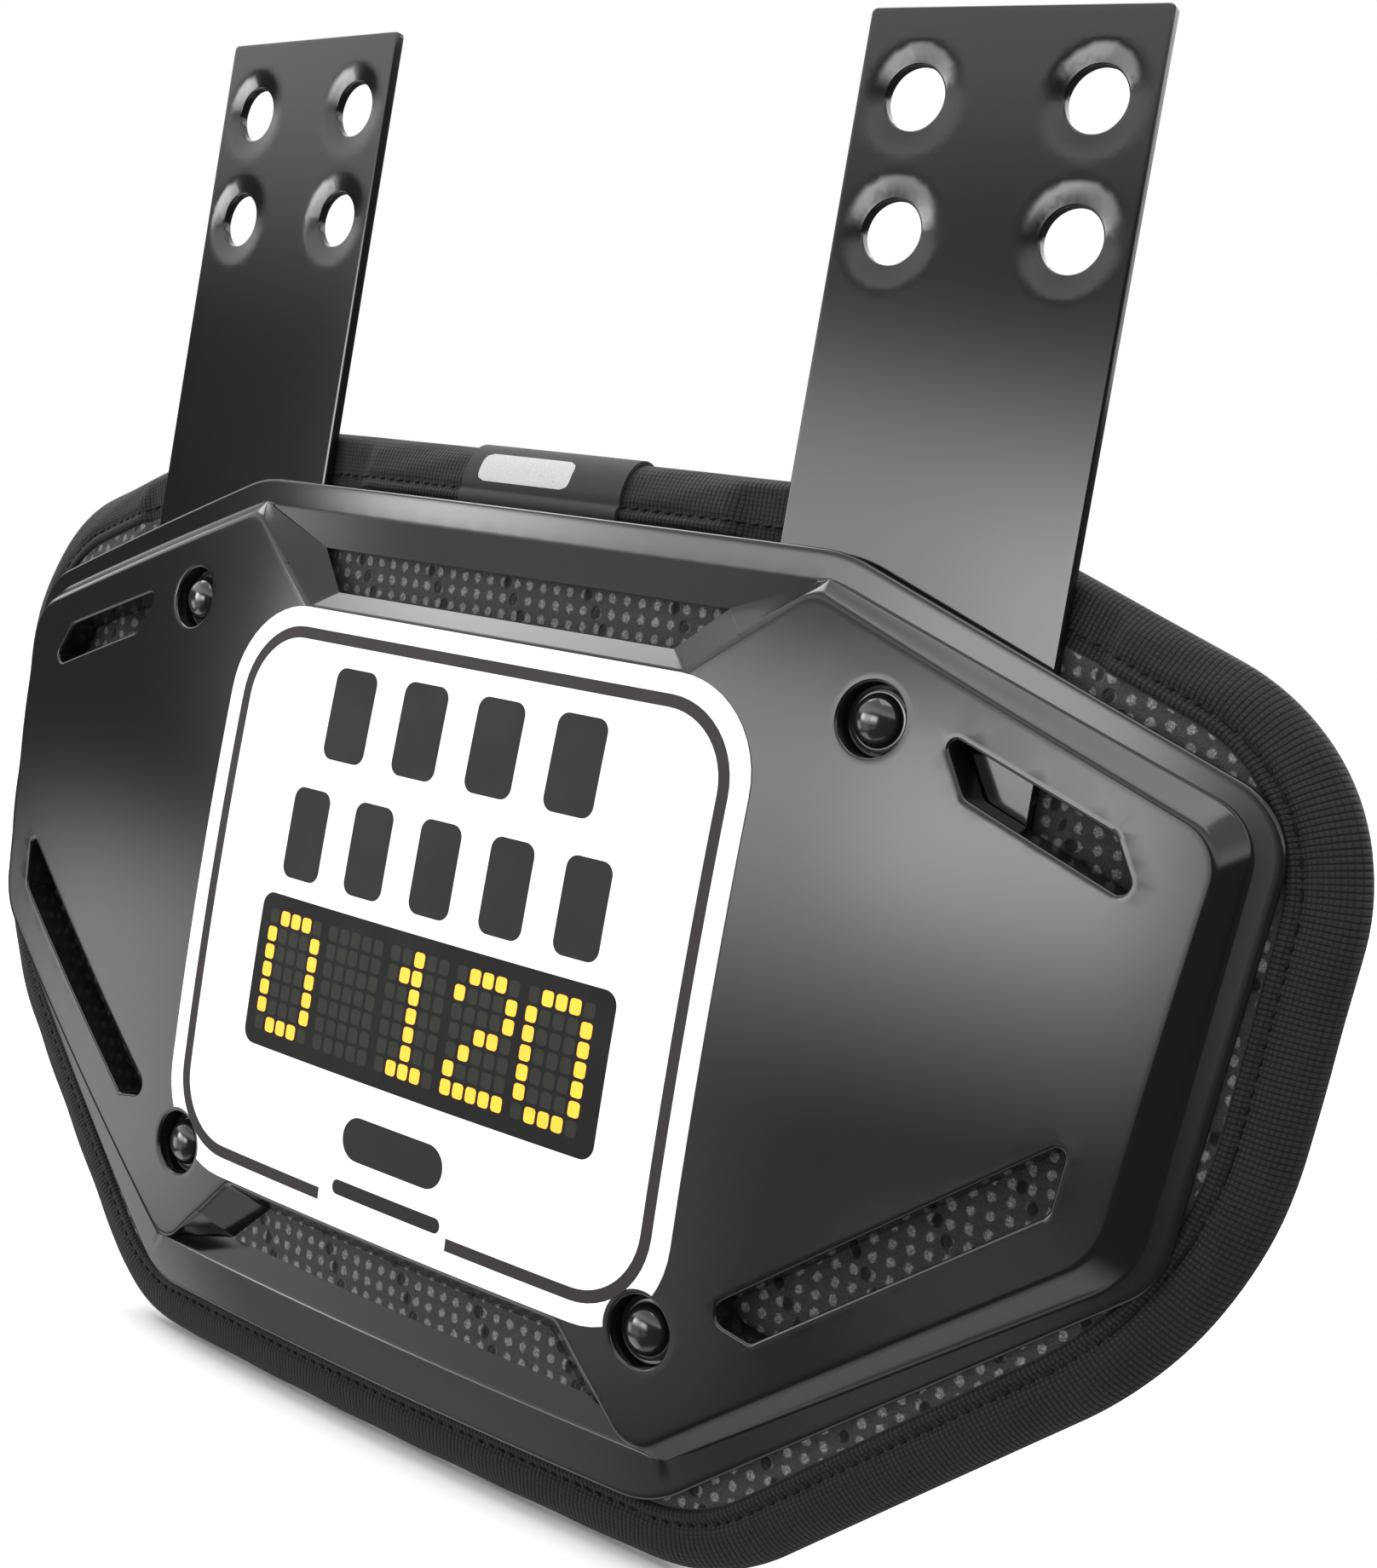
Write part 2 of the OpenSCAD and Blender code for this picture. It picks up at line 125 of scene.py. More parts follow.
def inset_corners(corners, d):
    """Moves every edge of a counter-clockwise outline inwards by d, and shrinks its radii."""
    p = np.array([c[:2] for c in corners], float)
    e = np.roll(p, -1, 0) - p
    n = np.stack([-e[:, 1], e[:, 0]], 1) / np.linalg.norm(e, axis=1)[:, None]
    before = np.roll(n, 1, 0)
    q = p + d * (before + n) / (1 + (before * n).sum(1))[:, None]
    return [(x, z, max(c[2] - d, 0.6)) for (x, z), c in zip(q, corners)]


def corner_arc(a, p, b, r, steps):
    """The arc that rounds corner p, or p itself once for each step if r is 0."""
    if r == 0:
        return [p] * (steps + 1)
    u, v = (a - p) / np.linalg.norm(a - p), (b - p) / np.linalg.norm(b - p)
    half = math.acos(np.clip(u @ v, -1, 1)) / 2
    centre = p + (u + v) / np.linalg.norm(u + v) * r / math.sin(half)
    s, e = p + u * r / math.tan(half) - centre, p + v * r / math.tan(half) - centre
    start = math.atan2(s[1], s[0])
    turn = math.atan2(s[0] * e[1] - s[1] * e[0], s @ e)
    angles = start + turn * np.linspace(0, 1, steps + 1)
    return list(centre + r * np.stack([np.cos(angles), np.sin(angles)], 1))


def outline(corners, steps=10, spacing=1.5, counts=None):
    """A rounded closed outline, (N, 2). counts fixes the points on each edge, so that two
    outlines with as many corners match point for point. Returns the points and the counts."""
    p = [np.array(c[:2], float) for c in corners]
    n = len(p)
    arcs = [corner_arc(p[i - 1], p[i], p[(i + 1) % n], corners[i][2], steps) for i in range(n)]
    points, used = [], []
    for i in range(n):
        points += arcs[i]
        a, b = arcs[i][-1], arcs[(i + 1) % n][0]
        count = counts[i] if counts else max(1, int(np.linalg.norm(b - a) / spacing))
        used.append(count)
        points += [a + (b - a) * k / count for k in range(1, count)]
    return np.array(points), used


def tidy_loop(loop, least=0.05):
    """Drops points that repeat the one before."""
    keep = [0]
    for i in range(1, len(loop)):
        if np.linalg.norm(loop[i] - loop[keep[-1]]) > least:
            keep.append(i)
    if np.linalg.norm(loop[keep[-1]] - loop[0]) < least:
        keep.pop()
    return loop[keep]


def left_normals(loop):
    ahead = np.roll(loop, -1, 0) - np.roll(loop, 1, 0)
    length = np.maximum(np.linalg.norm(ahead, axis=1), 1e-9)
    return np.stack([-ahead[:, 1], ahead[:, 0]], 1) / length[:, None]


def shifted(loop, d):
    """A closed counter-clockwise loop moved inwards by d, point by point."""
    return loop + left_normals(loop) * np.asarray(d).reshape(-1, 1)


def ring(x, z, r, count=48):
    a = np.linspace(0, 2 * math.pi, count, endpoint=False)
    return np.stack([x + r * np.cos(a), z + r * np.sin(a)], 1)


def inside(points, loop):
    """Even-odd test of many points against one loop."""
    a, b = loop, np.roll(loop, -1, 0)
    hit = np.zeros(len(points), bool)
    for (ax, az), (bx, bz) in zip(a, b):
        if az == bz:
            continue
        crosses = (points[:, 1] < az) != (points[:, 1] < bz)
        hit ^= crosses & (points[:, 0] < (bx - ax) * (points[:, 1] - az) / (bz - az) + ax)
    return hit


def distance_to(points, loop):
    """Distance of many points to a closed loop."""
    a, b = loop, np.roll(loop, -1, 0)
    best = np.full(len(points), np.inf)
    for p, q in zip(a, b):
        d = q - p
        t = np.clip((points - p) @ d / max(d @ d, 1e-12), 0, 1)
        best = np.minimum(best, np.linalg.norm(points - (p + t[:, None] * d), axis=1))
    return best


def even_points(loop, spacing):
    """A triangular grid of points over the box round a loop."""
    low, high = loop.min(0), loop.max(0)
    rows = []
    for i, z in enumerate(np.arange(low[1], high[1], spacing * math.sqrt(3) / 2)):
        x = np.arange(low[0] + (i % 2) * spacing / 2, high[0], spacing)
        rows.append(np.stack([x, np.full(len(x), z)], 1))
    return np.concatenate(rows)


def fill(outer, holes=(), spacing=4.0, margin=0.45):
    """Triangles between an outer loop and holes, with an even grid of points inside. The points
    stay clear of every loop by the margin's share of the spacing."""
    grid = even_points(outer, spacing)
    keep = inside(grid, outer) & (distance_to(grid, outer) > spacing * margin)
    for hole in holes:
        keep &= ~inside(grid, hole) & (distance_to(grid, hole) > spacing * margin)
    points = np.concatenate([outer, *holes, grid[keep]])
    edges, start = [], 0
    for loop in (outer, *holes):
        n = len(loop)
        edges += [(start + i, start + (i + 1) % n) for i in range(n)]
        start += n
    found = delaunay_2d_cdt([tuple(p) for p in points], edges, [], 0, 1e-5)
    verts = np.array([tuple(v) for v in found[0]])
    faces = np.array([f for f in found[2] if len(f) == 3])
    middles = verts[faces].mean(1)
    a, b, c = verts[faces].transpose(1, 0, 2)
    doubled = np.abs((b - a)[:, 0] * (c - a)[:, 1] - (b - a)[:, 1] * (c - a)[:, 0])
    keep = inside(middles, outer) & (doubled > 1e-3)
    for hole in holes:
        keep &= ~inside(middles, hole)
    return verts, faces[keep]


# ---- surfaces, y of a point (x, z) ----
def bend(x, r):
    return r - np.sqrt(r * r - x * x)


def face_y(x, z):
    return CROWN + DOME_R - np.sqrt(DOME_R ** 2 - x * x - z * z)


def lip_y(x, z):
    return LIP + bend(x, LIP_BEND)


def tray_y(x, z):
    return TRAY + bend(x, LIP_BEND)


def pad_y(x, depth):
    """The pad's layer that lies depth behind its front."""
    return -PAD_T + PAD_BEND - np.sqrt((PAD_BEND - depth) ** 2 - x * x)


CUP_FLOOR_Y = float(face_y(*UPPER_POST)) + CUP_DEPTH


def strap_plane(x, depth):
    """y of a plane parallel to the straps, depth behind the upper cups' floors."""
    return CUP_FLOOR_Y + depth / math.cos(STRAP_YAW) + math.tan(STRAP_YAW) * (np.abs(x) - UPPER_POST[0])


def smooth_max(a, b, soft):
    h = np.clip(0.5 + 0.5 * (a - b) / soft, 0, 1)
    return b + (a - b) * h + soft * h * (1 - h)


def outside_swing(x, z):
    """How far a point lies outside the area that a swinging strap sweeps, negative inside."""
    u, w = np.abs(np.abs(x) - UPPER_POST[0]), z - UPPER_POST[1]
    half = (STRAP_W / 2 + 0.6) / math.cos(STRAP_SWING) + w * math.tan(STRAP_SWING)
    wedge = np.where(w > 0, (u - half) * math.cos(STRAP_SWING), 1e3)
    return np.minimum(wedge, np.hypot(u, w) - math.hypot(STRAP_W / 2, STRAP_TAIL) - 0.6)


def pressed(x, z, y, clear=0.4, slope=0.8):
    """y, pressed back where a strap lies over the pad."""
    e = outside_swing(x, z)
    floor = strap_plane(x, STRAP_DEPTH + STRAP_T + clear) - slope * np.maximum(e, 0)
    return smooth_max(y, floor, 0.35)


# ---- meshes ----
class Sketch:
    """Collects points in millimetres and faces, and welds them into one object."""

    def __init__(self):
        self.points, self.faces, self.slots, self.count = [], [], [], 0

    def add(self, points, faces, slot=0):
        self.points.append(np.asarray(points, float))
        self.faces += [tuple(int(i) + self.count for i in f) for f in faces]
        self.slots += [slot] * len(faces)
        self.count += len(points)

    def strips(self, rows, closed=True, slot=0):
        """Quads between rows of as many points each. A closed row joins its own ends."""
        n = len(rows[0])
        faces = []
        for r in range(len(rows) - 1):
            for i in range(n if closed else n - 1):
                j = (i + 1) % n
                faces.append((r * n + i, r * n + j, (r + 1) * n + j, (r + 1) * n + i))
        self.add(np.concatenate(rows), faces, slot)

    def build(self, name, materials, body="plate", weld=0.004, sharp=40, weighted=True):
        mesh = bpy.data.meshes.new(name)
        points = np.concatenate(self.points) * MM
        mesh.from_pydata([tuple(p) for p in points], [], self.faces)
        obj = bpy.data.objects.new(name, mesh)
        bpy.context.scene.collection.objects.link(obj)
        for m in materials:
            mesh.materials.append(m)
        mesh.polygons.foreach_set("material_index", self.slots)
        mesh.update()
        bm = bmesh.new()
        bm.from_mesh(mesh)
        bmesh.ops.remove_doubles(bm, verts=bm.verts, dist=weld * MM)
        bmesh.ops.recalc_face_normals(bm, faces=bm.faces)
        bm.to_mesh(mesh)
        bm.free()
        finish_mesh(obj, sharp, weighted)
        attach(obj, body)
        return obj


def finish_mesh(obj, sharp=40, weighted=True):
    obj.data.polygons.foreach_set("use_smooth", [True] * len(obj.data.polygons))
    obj.data.set_sharp_from_angle(angle=math.radians(sharp))
    if weighted:
        modifier = obj.modifiers.new("Weighted normals", "WEIGHTED_NORMAL")
        modifier.keep_sharp = True
        modifier.weight = 60


def lifted(loop, y):
    """A plane loop as points in space: y is a number, an array or a function of x and z."""
    if callable(y):
        y = y(loop[:, 0], loop[:, 1])
    return np.stack([loop[:, 0], np.broadcast_to(y, len(loop)), loop[:, 1]], 1)


def quarter(steps):
    """(inset, drop) of each row that rounds an edge, as shares of its radius."""
    angles = [math.pi / 2 * k / steps for k in range(steps + 1)]
    return [(1 - math.sin(a), 1 - math.cos(a)) for a in angles]


def slab(sketch, outer, holes, front, back, edge=0.4, steps=3, spacing=4.0, wall_slot=0, guard=0.8):
    """A closed plate with rounded edges between two surfaces. Its loops run counter-clockwise,
    holes included. guard is the width of the even band of faces inside each edge."""
    loops = [(outer, 1)] + [(hole, -1) for hole in holes]
    inner = [shifted(loop, s * (edge + guard)) for loop, s in loops]
    verts, faces = fill(inner[0], inner[1:], spacing)
    for y in (front, back):
        sketch.add(lifted(verts, y), faces)
    for (loop, s), band in zip(loops, inner):
        base = shifted(loop, s * edge)
        rows = []
        for side, y in ((1, front), (-1, back)):
            level = y(base[:, 0], base[:, 1])
            rows.append([lifted(band, y)])
            rows[-1] += [lifted(shifted(loop, s * edge * inset), level + side * edge * drop)
                         for inset, drop in quarter(steps)]
            sketch.strips(rows[-1][:2])
        sketch.strips(rows[0][1:] + rows[1][1:][::-1], slot=wall_slot)


# ---- materials ----
class Graph:
    """A short way to write node graphs."""

    def __init__(self, tree):
        self.tree = tree

    def node(self, kind, *values, out=0, **settings):
        """Adds a node and returns one output. The values go to its inputs, in order or by name."""
        made = self.tree.nodes.new("ShaderNode" + kind)
        for key, value in settings.items():
            setattr(made, key, value)
        by_name = values and isinstance(values[0], dict)
        for key, value in (values[0] if by_name else dict(enumerate(values))).items():
            self.join(value, made.inputs[key])
        return made.outputs[out]

    def join(self, value, socket):
        """Links an output to a socket, or sets the socket itself."""
        if isinstance(value, bpy.types.NodeSocket):
            self.tree.links.new(value, socket)
        elif value is not None:
            socket.default_value = value

    def parts(self, vector):
        made = self.tree.nodes.new("ShaderNodeSeparateXYZ")
        self.tree.links.new(vector, made.inputs[0])
        return tuple(made.outputs)

    def maths(self, operation, *values):
        return self.node("Math", *values, operation=operation)

    def times(self, a, b):
        return self.maths("MULTIPLY", a, b)

    def plus(self, a, b):
        return self.maths("ADD", a, b)

    def minus(self, a, b):
        return self.maths("SUBTRACT", a, b)

    def wave(self, value, pitch):
        """A sine that repeats every pitch."""
        return self.maths("SINE", self.times(value, 2 * math.pi / pitch))

    def ramp(self, value, low, high, to_low=0.0, to_high=1.0):
        return self.node("MapRange", value, low, high, to_low, to_high, interpolation_type="SMOOTHSTEP")


class Shader(Graph):
    """A principled material."""

    def __init__(self, name, base, rough, metallic=0.0, **more):
        self.material = bpy.data.materials.new(name)
        self.material.use_nodes = True
        super().__init__(self.material.node_tree)
        self.bsdf = self.tree.nodes["Principled BSDF"]
        self.set("Base Color", (*base, 1))
        self.set("Roughness", rough)
        self.set("Metallic", metallic)
        for key, value in more.items():
            self.set(key.replace("_", " "), value)
        self.material.diffuse_color = (*base, 1)

    def set(self, socket, value):
        self.join(value, self.bsdf.inputs[socket])

    def place(self, uv=False):
        """The UV map, or the object's own coordinates."""
        return self.node("TexCoord", out=2 if uv else 3)

    def split(self, vector):
        """A vector's three parts, in millimetres."""
        return self.parts(self.node("VectorMath", vector, (1 / MM,) * 3, operation="MULTIPLY"))

    def noise(self, size_mm, detail):
        return self.node("TexNoise", {"Vector": self.place(), "Scale": 1000.0 / size_mm, "Detail": detail})

    def mix(self, factor, a, b):
        """A colour between a and b, which are outputs or plain colours."""
        a, b = ((*c, 1) if isinstance(c, tuple) else c for c in (a, b))
        return self.node("Mix", {0: factor, 6: a, 7: b}, out=2, data_type="RGBA")

    def bump(self, height, depth_mm, strength):
        return self.node("Bump", {"Strength": strength, "Distance": depth_mm * MM, "Height": height})


def moulded(name, base, rough, grain=0.25, depth=0.012, spread=0.05, cloud=45):
    """Moulded plastic: fine spark grain and a soft, cloudy gloss."""
    s = Shader(name, base, rough)
    fine = s.noise(grain, 3)
    s.set("Roughness", s.ramp(s.noise(cloud, 1), 0.1, 0.9, rough - spread, rough + spread))
    s.set("Base Color", s.mix(s.ramp(fine, 0.2, 0.8), base, tuple(c * 1.15 for c in base)))
    s.set("Normal", s.bump(fine, depth, 0.6))
    return s.material


def coated_metal(name, base, rough, metallic, size=0.6, depth=0.004, **more):
    """Plated or coated metal with a slightly uneven gloss."""
    s = Shader(name, base, rough, metallic, **more)
    cloud = s.noise(size * 6, 4)
    s.set("Roughness", s.ramp(cloud, 0.3, 0.7, rough * 0.8, rough * 1.25))
    s.set("Normal", s.bump(s.noise(size, 4), depth, 0.5))
    return s.material


def ovals(s, x, z, pitch_x, pitch_z, half_x, half_z, shift):
    """A mask of ovals in rows, 1 in their middles and 0 between them. shift is how far each row
    stands aside from the one below, as a share of the pitch."""
    row = s.maths("DIVIDE", z, pitch_z)
    aside = s.times(s.maths("FLOOR", row), shift)
    column = s.plus(s.maths("DIVIDE", x, pitch_x), aside)
    u = s.times(s.minus(s.maths("FRACT", column), 0.5), pitch_x / half_x)
    v = s.times(s.minus(s.maths("FRACT", row), 0.5), pitch_z / half_z)
    radius = s.maths("SQRT", s.plus(s.times(u, u), s.times(v, v)))
    return s.ramp(radius, 1.25, 0.75)


def spacer_mesh(name, dark, light):
    """Knitted spacer mesh: rows of raised pale loops on dark ground, with pores painted near-black as the
    shade of open holes.
    """
    s = Shader(name, dark, 0.85, Sheen_Weight=0.08, Sheen_Roughness=0.5)
    pitch_x, pitch_z = 3.05, 2.75
    x, _, z = s.split(s.place())
    x = s.plus(x, s.times(s.noise(6, 2), 0.7))
    ragged = s.times(s.minus(s.noise(0.8, 3), 0.5), 0.9)
    u, v = s.plus(x, ragged), s.minus(z, ragged)
    dots = ovals(s, u, v, pitch_x, pitch_z, 0.72, 0.82, 0.1)
    # a pore takes the place of a loop now and then along each row; its near-black is painted shade, and the
    # bump presses it in
    pore_dip_and_painted_shade = ovals(s, x, z, pitch_x * 6, pitch_z, 0.95, 1.05, 0.1167)
    knit = s.noise(0.35, 3)
    colour = s.mix(s.ramp(knit, 0.3, 0.75), dark, tuple(2.2 * c for c in dark))
    loops = s.mix(s.ramp(knit, 0.35, 0.7), tuple(0.35 * c for c in light), light)
    colour = s.mix(dots, colour, loops)
    # painted shade: the pores turn near-black, as the inside of an open hole would be in shade
    s.set("Base Color", s.mix(pore_dip_and_painted_shade, colour, (0.001, 0.001, 0.001)))
    height = s.minus(s.times(dots, 0.7), s.times(pore_dip_and_painted_shade, 1.4))
    height = s.plus(height, s.times(knit, 0.6))
    s.set("Normal", s.bump(height, 0.4, 0.8))
    return s.material


def ribbed_tape(name, base, pale, along=0.82, across=0.7):
    """Woven tape on UVs in metres: ribs across its width, bound by finer threads."""
    s = Shader(name, base, 0.7, Sheen_Weight=0.04, Sheen_Roughness=0.4, Specular_IOR_Level=0.25)
    u, v, _ = s.split(s.place(uv=True))
    rib = s.maths("ABSOLUTE", s.wave(u, 2 * along))
    thread = s.maths("ABSOLUTE", s.wave(v, 2 * across))
    cell = s.times(s.ramp(rib, 0.0, 0.9), s.ramp(thread, -0.6, 0.8))
    cell = s.plus(cell, s.times(s.noise(0.3, 3), 0.4))
    shade = s.ramp(s.plus(cell, s.times(s.noise(9, 3), 0.5)), 0.4, 1.8)
    s.set("Base Color", s.mix(shade, base, pale))
    s.set("Normal", s.bump(cell, 0.16, 0.9))
    return s.material


def plain_weave(name, base, pale):
    """Smooth, closely woven label cloth."""
    s = Shader(name, base, 0.65, Sheen_Weight=0.05, Sheen_Roughness=0.4, Specular_IOR_Level=0.3)
    x, _, z = s.split(s.place())
    weave = s.times(s.wave(x, 0.45), s.wave(z, 0.4))
    weave = s.plus(weave, s.noise(0.6, 3))
    s.set("Base Color", s.mix(s.ramp(weave, -0.6, 1.4), base, pale))
    s.set("Normal", s.bump(weave, 0.03, 0.7))
    return s.material


def brushed_knit(name, base, pale):
    """Soft liner knit: fine courses on the face and a slight nap."""
    s = Shader(name, base, 0.9, Sheen_Weight=0.4, Sheen_Roughness=0.5)
    x, _, z = s.split(s.place())
    stitch = s.times(s.wave(z, 1.1), s.wave(x, 0.9))
    height = s.plus(s.times(stitch, 0.5), s.noise(0.5, 4))
    s.set("Base Color", s.mix(s.ramp(height, -0.3, 1.3), base, pale))
    s.set("Normal", s.bump(height, 0.12, 0.8))
    return s.material


def cell_foam(name, base, per_metre=1400.0):
    """Cut foam: open cells."""
    s = Shader(name, base, 0.95)
    cells = s.node("TexVoronoi", {"Vector": s.place(), "Scale": per_metre})
    s.set("Base Color", s.mix(s.ramp(cells, 0.0, 0.7), tuple(c * 0.6 for c in base), base))
    s.set("Normal", s.bump(cells, 0.15, 0.8))
    return s.material


def printed(name, base, rough=0.35, spread=0.04, **more):
    """Ink or film: flat colour, a soft gloss and faint orange peel."""
    s = Shader(name, base, rough, **more)
    s.set("Roughness", s.ramp(s.noise(8, 2), 0.3, 0.7, rough - spread, rough + spread))
    s.set("Normal", s.bump(s.noise(1.2, 2), 0.004, 0.5))
    return s.material


SHELL = moulded("shell_satin_black", (0.0045, 0.0046, 0.0049), 0.15, depth=0.0004, spread=0.01)
STRAP = moulded("strap_satin_black", (0.003, 0.0031, 0.0033), 0.12, depth=0.0004, spread=0.01)
SPACER = moulded("spacer_black_nylon", (0.02, 0.02, 0.021), 0.45)
WASHER = moulded("washer_natural_nylon", (0.62, 0.61, 0.56), 0.5)
CARRIER_SHEET = moulded("carrier_natural_sheet", (0.6, 0.6, 0.56), 0.55, grain=0.5)
POST = coated_metal("post_black_coat", (0.008, 0.008, 0.009), 0.16, 0.0, Coat_Weight=0.5,
                    Coat_Roughness=0.06)
SCREW = coated_metal("screw_zinc", (0.56, 0.56, 0.55), 0.32, 1.0, size=0.3, depth=0.008)
MESH = spacer_mesh("pad_spacer_mesh", (0.014, 0.014, 0.0145), (0.2, 0.2, 0.2))
TAPE = ribbed_tape("binding_ribbed_tape", (0.0015, 0.0015, 0.0016), (0.014, 0.014, 0.0145))
TAB = plain_weave("tab_grey_weave", (0.010, 0.010, 0.0105), (0.017, 0.017, 0.0175))
TAB_MARK = plain_weave("tab_pale_weave", (0.3, 0.3, 0.3), (0.42, 0.42, 0.42))
LINER = brushed_knit("liner_black_knit", (0.012, 0.0125, 0.0135), (0.04, 0.041, 0.044))
FOAM = cell_foam("pad_foam_grey", (0.03, 0.03, 0.031))
THREAD = ribbed_tape("stitch_black_thread", (0.0008, 0.0008, 0.0008), (0.002, 0.002, 0.002), 0.5, 0.5)
FILM = printed("sign_white_film", (0.88, 0.88, 0.875), 0.45, Specular_IOR_Level=0.25)
INK = printed("sign_dark_ink", (0.018, 0.017, 0.018), 0.5, Specular_IOR_Level=0.12)
LINE = printed("sign_border_ink", (0.03, 0.025, 0.026), 0.5, Specular_IOR_Level=0.12)
PANEL = printed("sign_panel_ink", (0.008, 0.008, 0.0085), 0.5, Specular_IOR_Level=0.12)
DIM = printed("sign_dim_cell", (0.022, 0.023, 0.019), 0.5, Specular_IOR_Level=0.12)


def amber_ink_painted_glow(name):
    """The lit cells of the printed display: amber ink with a slight painted glow, as the print gives off
    light though it is no lamp.
    """
    s = Shader(name, (0.95, 0.42, 0.01), 0.45, Emission_Strength=0.25)
    s.set("Base Color", s.mix(s.noise(3, 2), (0.9, 0.36, 0.005), (1.0, 0.5, 0.02)))
    # the emission colour and strength are the painted glow of the printed cells
    s.set("Emission Color", (1.0, 0.42, 0.005, 1))
    return s.material


AMBER_INK_PAINTED_GLOW = amber_ink_painted_glow("sign_amber_ink_painted_glow")


# ---- shell ----
def matched(corners_a, corners_b):
    """Two closed outlines with matching points."""
    a, counts = outline(mirrored(corners_a), spacing=1.4)
    b, counts = outline(mirrored(corners_b), counts=counts)
    return a, b


def area(loop):
    x, z = loop[:, 0], loop[:, 1]
    return 0.5 * float(np.sum(x * np.roll(z, -1) - np.roll(x, -1) * z))


def slot_outlines():
    """Counter-clockwise loops, each slot on the right followed by its mirror image."""
    loops = []
    for corners in (UPPER_SLOT, LOWER_SLOT):
        right = tidy_loop(outline(corners, steps=6, spacing=1.5)[0])
        if area(right) < 0:
            right = right[::-1]
        loops += [right, (right * [-1, 1])[::-1]]
    return loops


def post_places():
    """(side, x, z, yaw) of each post."""
    lower_yaw = STRAP_YAW * LOWER_POST[0] / UPPER_POST[0]
    return [(side, side * x, z, yaw) for side in (-1, 1)
            for (x, z), yaw in ((UPPER_POST, STRAP_YAW), (LOWER_POST, lower_yaw))]


def on_axis(place, loop_r, depth, count=48):
    """A circle round a post's axis, depth behind its cup's floor, as points in space."""
    side, x, z, yaw = place
    a = np.linspace(0, 2 * math.pi, count, endpoint=False)
    out = np.array([-side * math.sin(yaw), math.cos(yaw), 0.0])
    across = np.array([math.cos(yaw), side * math.sin(yaw), 0.0])
    floor = np.array([x, float(face_y(x, z)) + CUP_DEPTH, z])
    return (floor + out * depth + loop_r * np.cos(a)[:, None] * across
            + loop_r * np.sin(a)[:, None] * np.array([0, 0, 1.0]))


def smooth_step(x):
    x = np.clip(x, 0, 1)
    return x * x * (3 - 2 * x)


def window_y(x, z):
    """The window edges' front. The upper window keeps clear of the straps as they swing."""
    return tray_y(x, z) - WINDOW_FORWARD * (np.asarray(z) > 0)


def crease_y(x, z, back):
    """The crease's y: the lip's at the sides, the window edges' at the windows, a slope between."""
    on_lip = lip_y(x, z) + LIP_T * back
    in_window = np.abs(x) < WINDOW_X
    ledge = np.clip((WINDOW_TOP[1] - z) / (WINDOW_TOP[1] - LEDGE_Z), 0, 1) * (z > 0) * in_window
    on_tray = window_y(x, z) + TRAY_T * back - LEDGE_FORWARD * ledge
    reach = np.clip((np.abs(x) - WINDOW_TOP[0]) / (SIDE_X - WINDOW_TOP[0]), 0, 1)
    y = np.where(in_window, on_tray, on_tray + (on_lip - on_tray) * reach)
    return np.where(np.abs(x) >= SIDE_X, on_lip, y)


def rounded(a, corner, b, count):
    """Rows of points from a to b, drawn towards the corner."""
    return [(1 - t) ** 2 * a + 2 * t * (1 - t) * corner + t * t * b for t in np.linspace(0, 1, count)]


def face_wall(sketch, back, dome):
    """The wall from the face's outline down to the crease, rounded at both.
    Returns its rows, and the crease without the rounding."""
    top, low = matched(FACE, CREASE)
    if back:
        # the hidden side lies inside the front's wall
        at_side = np.abs(low[:, 0]) > SIDE_X + 0.1
        top = shifted(top, 1.6)
        low[at_side] = shifted(low, 1.2)[at_side]
    side = smooth_step((np.abs(low[:, 0]) - SIDE_X - 0.3) / 6)
    low_y = crease_y(low[:, 0], low[:, 1], back)
    round_top, round_low, flat_top = (0.6, 0.5, 0.5) if back else (0.8, 0.45, 0.8)
    v_top, v_low = lifted(top, dome), lifted(low, low_y)
    way = v_low - v_top
    length = np.linalg.norm(way, axis=1)[:, None]
    step = way / np.maximum(length, 1e-6)
    a = lifted(shifted(top, round_top), dome)
    b = v_top + step * np.minimum(round_top, length * 0.4)
    c = v_low - step * (np.minimum(round_low, length[:, 0] * 0.3) * side)[:, None]
    out = shifted(low, -1.0 * side * round_low)
    d = lifted(out, np.where(side > 0, lip_y(out[:, 0], out[:, 1]) + LIP_T * back, low_y))
    d = np.where((side > 0)[:, None], d, v_low)
    rows = [lifted(shifted(top, round_top + flat_top), dome)]
    rows += rounded(a, v_top, b, 6) + [(b + c) / 2] + rounded(c, v_low, d, 5)
    sketch.strips(rows)
    return rows, v_low


def face_slots(sketch, back, dome):
    """The slots' walls, down to the ends of their collars.
    Returns the outlines that the face leaves open, and the collars' ends."""
    edge = 0.5 * (1 - back)
    guards, ends = [], []
    for loop in slot_outlines():
        base = shifted(loop, -1.3 * back)
        guards.append(shifted(base, -(edge + 0.7)))
        rows = [lifted(guards[-1], dome)]
        level = dome(base[:, 0], base[:, 1])
        for inset, drop in quarter(3)[:1 if back else None]:
            rows.append(lifted(shifted(base, -edge * inset), level + edge * drop))
        rows.append(lifted(base, face_y(base[:, 0], base[:, 1]) + COLLAR))
        sketch.strips(rows)
        ends.append(rows[-1])
    return guards, ends


